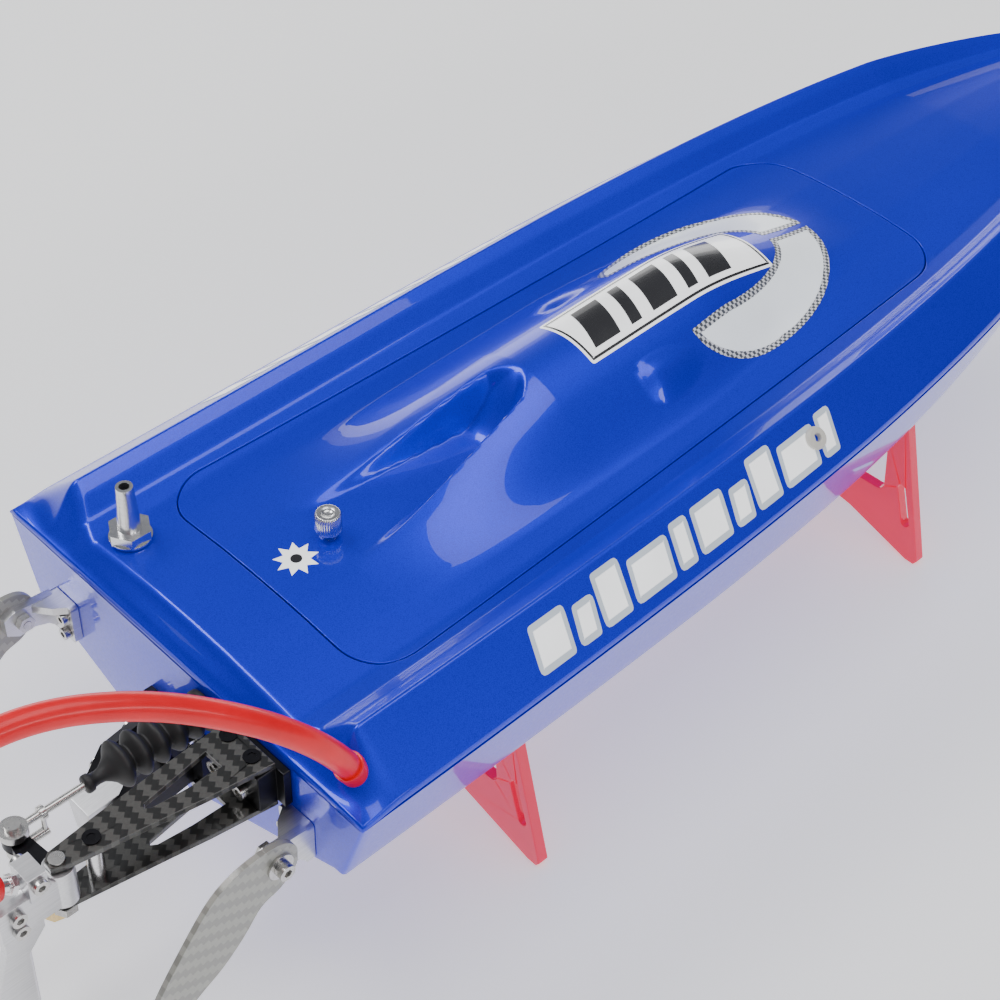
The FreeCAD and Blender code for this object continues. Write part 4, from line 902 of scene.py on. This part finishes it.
# ------------------------------------------------------------------ cooling hose
RUDDER_X, RUDDER_Y = -68.5, -39.0
PUSHROD_Y, PUSHROD_Z = -15.4, -8.4
STERN_TUBE_Z = -52.3
HOSE_R, HOSE_BORE, HOSE_LENGTH = 4.0, 2.4, 0.2115
GROMMET_X, GROMMET_Y = 8.5, -74.0
GROMMET_WAY = Vector((-0.45, 0.0, 0.893))
NIPPLE_WAY = Vector((-0.88, 0.0, 0.475)).normalized()
NIPPLE_MOUTH = Vector((RUDDER_X - 11.7, RUDDER_Y, 2.0)) + NIPPLE_WAY * 8.0


def in_mm(point):
    """The reverse of at()."""
    return (Vector(point) - ORIGIN) / MM


def hose_route():
    """From the deck grommet, over the pivot, back round and down onto the rudder's nipple."""
    root = Vector((GROMMET_X, GROMMET_Y, deck_top(GROMMET_X, GROMMET_Y)))
    return [root + GROMMET_WAY * 3.6, root + GROMMET_WAY * 18, Vector((-18, -66, 44)),
            Vector((-44, -53, 60)), Vector((-73, -42, 67)), Vector((-100, -38, 62)),
            Vector((-118, -37.5, 47)), Vector((-117, -38, 27)),
            NIPPLE_MOUTH + NIPPLE_WAY * 15, NIPPLE_MOUTH + NIPPLE_WAY * 0.1]


def build_hose():
    curve = bpy.data.curves.new("hose_line", "CURVE")
    curve.dimensions = "3D"
    curve.resolution_u = 16
    spline = curve.splines.new("NURBS")
    route = [at(*p) for p in hose_route()]
    spline.points.add(len(route) - 1)
    for point, place in zip(spline.points, route):
        point.co = (*place, 1.0)
    spline.order_u = 3
    spline.use_endpoint_u = True
    carrier = bpy.data.objects.new("hose_line", curve)
    path = [v.co.copy() for v in bpy.data.meshes.new_from_object(carrier).vertices]
    bpy.data.objects.remove(carrier)
    line = [in_mm(p) for p in path]
    rows = tube_rows(line, HOSE_R, 32) + tube_rows(line, HOSE_BORE, 32)[::-1]
    hose = grid_piece("hose_tube", rows + rows[:1], SILICONE, None, ("cooling_hose",),
                      closed=True)
    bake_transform(hose)


def build_bellows():
    """Ribbed rubber boot: a flange, five ribs and a neck that grips the pushrod."""
    valley, pitch, ribs, around = 4.4, 6.4, 5, 14
    profile = [(6.3, 0.0), (6.9, 0.2), (7.0, 0.5), (7.0, 1.8), (6.7, 2.2), (5.4, 2.5)]
    for rib in range(ribs):
        peak = 6.9 + 0.25 * rib
        for k in range(around):
            swell = math.sin(math.pi * k / around)**1.3
            profile.append((valley + (peak - valley) * swell, 3.0 + pitch * (rib + k / around)))
    profile += [(4.4, 35.0), (3.3, 36.4), (2.4, 37.8), (2.15, 39.5), (2.2, 41.2), (2.9, 41.8),
                (3.0, 42.4), (3.0, 43.4), (2.7, 43.9), (1.2, 44.0)]
    boot = lathe("bellows_boot", (-0.3, PUSHROD_Y, PUSHROD_Z), -X_AXIS, profile, RUBBER, None,
                 ("pushrod_bellows",))
    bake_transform(boot)


# ------------------------------------------------------------------ hardware
KNURLS = 17
FIN_Y, FIN_PLATE = 67.0, 2.0
FIN_SCREW = (-15.0, -21.0)
FIN_OUTLINE = [(-8.2, -21.5), (-8.8, -17.0), (-13.0, -12.6), (-20.6, -11.4), (-31.0, -13.0),
               (-40.0, -18.4), (-51.0, -31.6), (-61.5, -46.5), (-71.0, -65.0), (-76.3, -82.0),
               (-77.6, -93.5), (-76.4, -94.0), (-68.8, -86.0), (-60.2, -71.0), (-50.0, -57.7),
               (-38.0, -50.0), (-29.5, -42.5), (-22.5, -34.4), (-15.0, -31.6), (-9.2, -26.6)]


def build_fins():
    for side, name in ((1, "port"), (-1, "starboard")):
        outline = curve_loop(FIN_OUTLINE, 5)
        y0, y1 = sorted((side * (FIN_Y - FIN_PLATE / 2), side * (FIN_Y + FIN_PLATE / 2)))
        fin = upright_plate("fin_plate_" + name, [outline, circle(*FIN_SCREW, 1.55)], y0, y1,
                            FIN_CARBON, "hull", ("turn_fin_" + name,))
        crisp(fin, 0.3, 2, 50.0)


def build_thumb_screw():
    low, high = (in_mm(corner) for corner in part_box("thumb_screw"))
    head, top, seat = (high.x - low.x) / 2, high.z - low.z, 9.5
    profile = [(1.5, 0.0), (1.5, seat - 0.05), (3.1, seat), (3.2, seat + 0.1), (3.2, seat + 1.9),
               (head - 0.7, seat + 2.0), (head - 0.5, seat + 2.05), (head, seat + 2.5), (head, top - 0.6),
               (head - 0.55, top - 0.05), (head - 0.8, top), (head - 2.2, top), (head - 2.5, top - 0.25),
               (head - 2.7, top - 0.6), (0.4, top - 0.62)]

    def knurl(radius, angle, height):
        return radius - (0.32 * abs(math.cos(KNURLS * angle)) if radius > head - 0.3 else 0.0)
    lathe("thumb_knob", ((low.x + high.x) / 2, 0, low.z), Z_AXIS, profile, ALUMINIUM, "thumb_screw",
          ("thumb_screw",), turns=12 * KNURLS, shape=knurl)


WELD_GAP = 0.000002
# material, width of the softened edges, CAD nodes
FINISHES = [
    (ACRYLIC, 0.45, ("stand_plate_rear", "stand_plate_front", "stand_spine")),
    (CARBON_FLAT, 0.2, ("arm_top_plate", "arm_bottom_plate")),
    (BRUSHED, 0.3, ("rudder_yoke", "rudder_blade", "strut_barrel", "motor_mount", "shaft_coupler",
                            "fin_bracket_port", "fin_bracket_starboard")),
    (ALUMINIUM, 0.2, ("outlet_nipple", "outlet_nut", "arm_spacers", "rudder_nipple", "propeller_nut",
                              "drive_dog")),
    (BLACK_METAL, 0.35, ("rudder_block", "strut_bracket", "tiller_horn", "motor_can")),
    (BLACK_METAL, 0.1, ("arm_screws",)),
    (BLUE_METAL, 0.3, ("motor_jacket",)),
    (STEEL, 0.15, ("rudder_pin", "yoke_screws", "transom_screws", "fin_screws", "pushrod", "drive_shaft",
                           "motor_rotor")),
    (BRASS, 0.15, ("stuffing_tube", "strut_bushes", "propeller")),
    (SILICONE, 0.2, ("motor_feed_hose", "motor_return_hose", "hose_grommet")),
    (RUBBER, 0.2, ("hatch_seal",)),
    (WHITE_PLASTIC, 0.3, ("side_outlet", "servo_horn")),
    (BLACK_PLASTIC, 0.4, ("steering_servo", "esc_case", "receiver", "battery_tray_port",
                                  "battery_tray_starboard")),
    (CLEAR_PLASTIC, 0.4, ("radio_box", "radio_lid")),
    (WRAP, 1.5, ("battery_port", "battery_starboard")),
    (PLYWOOD, 0.3, ("hatch_crossbar", "servo_mount")),
    (WIRE, 0.1, ("esc_leads",)),
]


def finish_nodes():
    """Materials and softened edges for the CAD solids that stay on show."""
    for material, width, names in FINISHES:
        for name in names:
            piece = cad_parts[name]
            piece.data.materials.clear()
            piece.data.materials.append(material)
            piece.modifiers.new("weld", "WELD").merge_threshold = WELD_GAP
            crisp(piece, width, 3, 30.0)


# ------------------------------------------------------------------ printed films
def on_hatch(x, y):
    return Vector((x, y, hatch_top(x, y)))


def on_flank(side):
    """The deck's sloping flank; v is the distance from the centreline at full beam."""
    def place(x, v):
        y = side * v * span(x, 1) / FULL_BEAM
        return Vector((x, y, deck_top(x, y)))
    return place


def film(name, outline, place, material, body, lift=0.12, holes=(), pitch=2.0, facing=1):
    """Thin printed film that follows a surface; place(u, v) gives the surface's points."""
    loops = [resample(loop, pitch) for loop in (outline, *holes)]
    avoid = [near_loop(loop, 0.6 * pitch) for loop in loops]
    us, vs = zip(*loops[0])
    lattice = [(u, v) for u in steps(min(us), (max(us), pitch)) for v in steps(min(vs), (max(vs), pitch))
               if inside_loops(Vector((u, v)), loops) and not any(test(u, v) for test in avoid)]
    flat, edges = flatten(loops)
    flat += [Vector(p) for p in lattice]
    points, _, triangles, _, _, _ = delaunay_2d_cdt(flat, edges, [], 0, 1e-5)
    upper, lower = [], []
    for p in points:
        along = place(p.x + 0.3, p.y) - place(p.x - 0.3, p.y)
        across = place(p.x, p.y + 0.3) - place(p.x, p.y - 0.3)
        out = along.cross(across).normalized() * facing
        upper.append(place(p.x, p.y) + out * lift)
        lower.append(place(p.x, p.y) - out * 0.05)
    faces = sheet_faces(inner_triangles(points, triangles, loops), len(points))
    piece = new_piece(name, upper + lower, faces, material, body)
    piece.data.set_sharp_from_angle(angle=math.radians(50))
    return piece


def shrunk(loop, gap):
    return [(x - n.x * gap, y - n.y * gap) for (x, y), n in zip(loop, outward(loop, 1))]


LABEL_X0, LABEL_X1, LABEL_HALF = 166.0, 258.0, 13.0
# the pane is a crescent: three quarter ellipses, each (centre, half axes, first angle, last angle)
WINDOW = [((236.0, 0.0), (55.0, 36.5), 2.0, 90.0), ((236.0, 20.0), (29.0, 16.5), 97.0, 180.0),
          ((226.0, 0.0), (43.0, 18.5), 90.0, 5.0)]
FLANK_X0, FLANK_X1, FLANK_TOP, FLANK_LOW = 74.0, 226.0, 73.0, 84.5
FLANK_WIDTHS, FLANK_DROPS = (15.0, 9.0, 12.0, 18.0, 8.0), (0.0, 2.0, -1.5, 1.0, 0.0)


def build_label():
    """Roof plate: a white film with a black frame and slanted black bars."""
    plate = rounded_loop([(LABEL_X0, -LABEL_HALF), (LABEL_X1, -LABEL_HALF), (LABEL_X1, LABEL_HALF),
                          (LABEL_X0, LABEL_HALF)], 1.2, 3)
    film("roof_label", plate, on_hatch, DECAL_WHITE, "hatch")
    film("roof_label_frame", shrunk(plate, 1.0), on_hatch, DECAL_BLACK, "hatch", 0.18, (shrunk(plate, 1.9),))
    x = LABEL_X0 + 8.0
    for k, width in enumerate((12.0, 5.0, 12.0, 5.0, 12.0)):
        reach, lean = LABEL_HALF - 4.0, 6.0
        bar = [(x - lean / 2, -reach), (x + width - lean / 2, -reach), (x + width + lean / 2, reach),
               (x + lean / 2, reach)]
        film("roof_label_bar_%d" % (k + 1), bar, on_hatch, DECAL_BLACK, "hatch", 0.18)
        x += width + 5.5


def ellipse_arc(centre, axes, first, last, count=12):
    angles = (math.radians(first + (last - first) * k / count) for k in range(count + 1))
    return [(centre[0] + axes[0] * math.cos(t), centre[1] + axes[1] * math.sin(t)) for t in angles]


def build_windows():
    """Silver cockpit panes round the canopy's nose, each with a chequered border."""
    for side, name in ((-1, "starboard"), (1, "port")):
        outline = [(x, y * side) for arc in WINDOW for x, y in ellipse_arc(*arc)]
        film("window_border_" + name, outline, on_hatch, CHECKS, "hatch")
        film("window_pane_" + name, shrunk(outline, 2.3), on_hatch, DECAL_SILVER, "hatch", 0.18)


def build_flank_marks():
    """Row of slanted white blocks with a grey edge on each side of the hull."""
    for side, name in ((-1, "starboard"), (1, "port")):
        place, x, k = on_flank(side), FLANK_X0, 0
        while x < FLANK_X1 - 8:
            width = FLANK_WIDTHS[k % 5]
            low, top, lean = FLANK_LOW, FLANK_TOP + FLANK_DROPS[k % 5], 4.0
            block = rounded_loop([(x, low), (x + width, low), (x + width + lean, top), (x + lean, top)],
                                 1.6, 3)
            tag = "%s_%d" % (name, k + 1)
            film("flank_edge_" + tag, block, place, DECAL_GREY, "hull", 0.12, (), 2.5, side)
            film("flank_mark_" + tag, shrunk(block, 1.6), place, DECAL_WHITE, "hull", 0.18, (), 2.5, side)
            x += width + 2.0
            k += 1


def build_burst():
    """Small star-edged sticker behind the thumb screw, with a dark middle."""
    x0, y0 = 48.0, -1.0
    star = [(x0 + r * math.cos(t), y0 + r * math.sin(t))
            for r, t in ((7.4 if k % 2 else 4.4, 2 * math.pi * k / 18) for k in range(18))]
    film("burst_sticker", star, on_hatch, DECAL_WHITE, "hatch", 0.12, (), 1.2)
    film("burst_middle", circle(x0, y0, 1.9, 20), on_hatch, DECAL_BLACK, "hatch", 0.18, (), 1.0)


build_hose()
build_bellows()
build_hull()
build_deck()
build_hatch()
build_fins()
build_thumb_screw()
finish_nodes()
build_label()
build_windows()
build_flank_marks()
build_burst()


# ------------------------------------------------------------------ studio
def studio():
    low = CAD_BOX[0]
    floor = bpy.data.meshes.new("floor")
    size, depth, sweep = 8.0, 7.0, 0.5
    profile = [(-size, low.z)]
    profile += [(depth + sweep * math.sin(t), low.z + sweep * (1 - math.cos(t)))
                for t in (math.pi / 2 * k / 16 for k in range(17))]
    profile.append((depth + sweep, low.z + 3.0))
    way = Vector((math.sin(math.radians(-CAMERA_AZIMUTH)), math.cos(math.radians(-CAMERA_AZIMUTH)), 0))
    across = Vector((way.y, -way.x, 0))
    verts = []
    for distance, z in profile:
        for side in (-size, size):
            p = way * distance + across * side
            verts.append((p.x, p.y, z))
    floor.from_pydata(verts, [], [(2 * i, 2 * i + 1, 2 * i + 3, 2 * i + 2) for i in range(len(profile) - 1)])
    floor.shade_smooth()
    m = Nodes("studio_floor")
    m.set(Roughness=0.6)
    m.shader.inputs["Base Color"].default_value = (0.8, 0.8, 0.8, 1)
    m.shader.inputs["Emission Color"].default_value = (1.0, 1.0, 1.0, 1)
    m.shader.inputs["Emission Strength"].default_value = 0.6
    floor.materials.append(m.material)
    piece = bpy.data.objects.new("floor", floor)
    bpy.context.scene.collection.objects.link(piece)


def light(name, place, target, size, power):
    data = bpy.data.lights.new(name, "AREA")
    data.shape = "RECTANGLE"
    data.size, data.size_y = size
    data.energy = power
    lamp = bpy.data.objects.new(name, data)
    bpy.context.scene.collection.objects.link(lamp)
    lamp.location = place
    lamp.rotation_mode = "QUATERNION"
    lamp.rotation_quaternion = (Vector(target) - Vector(place)).to_track_quat("-Z", "Y")


def lights():
    world = bpy.data.worlds.new("studio")
    bpy.context.scene.world = world
    world.use_nodes = True
    tree = world.node_tree
    background = tree.nodes["Background"]
    where = tree.nodes.new("ShaderNodeTexCoord")
    split = tree.nodes.new("ShaderNodeSeparateXYZ")
    sky = tree.nodes.new("ShaderNodeValToRGB")
    sky.color_ramp.elements[0].position, sky.color_ramp.elements[0].color = 0.02, (0.03, 0.032, 0.04, 1)
    sky.color_ramp.elements[1].position, sky.color_ramp.elements[1].color = 0.9, (0.30, 0.31, 0.34, 1)
    tree.links.new(where.outputs["Generated"], split.inputs["Vector"])
    tree.links.new(split.outputs["Z"], sky.inputs["Fac"])
    tree.links.new(sky.outputs["Color"], background.inputs["Color"])
    background.inputs["Strength"].default_value = 1.0
    middle = (0.05, 0.0, 0.05)
    light("key", (-0.6, 0.9, 1.5), middle, (1.0, 0.5), 13.0)
    light("top", (0.1, -0.25, 1.9), middle, (1.4, 1.0), 13.0)
    light("backdrop", (1.25, 1.55, 0.35), middle, (2.6, 0.6), 9.0)
    light("front", (-0.2, -1.6, 0.9), middle, (1.6, 0.25), 9.0)


studio()
lights()
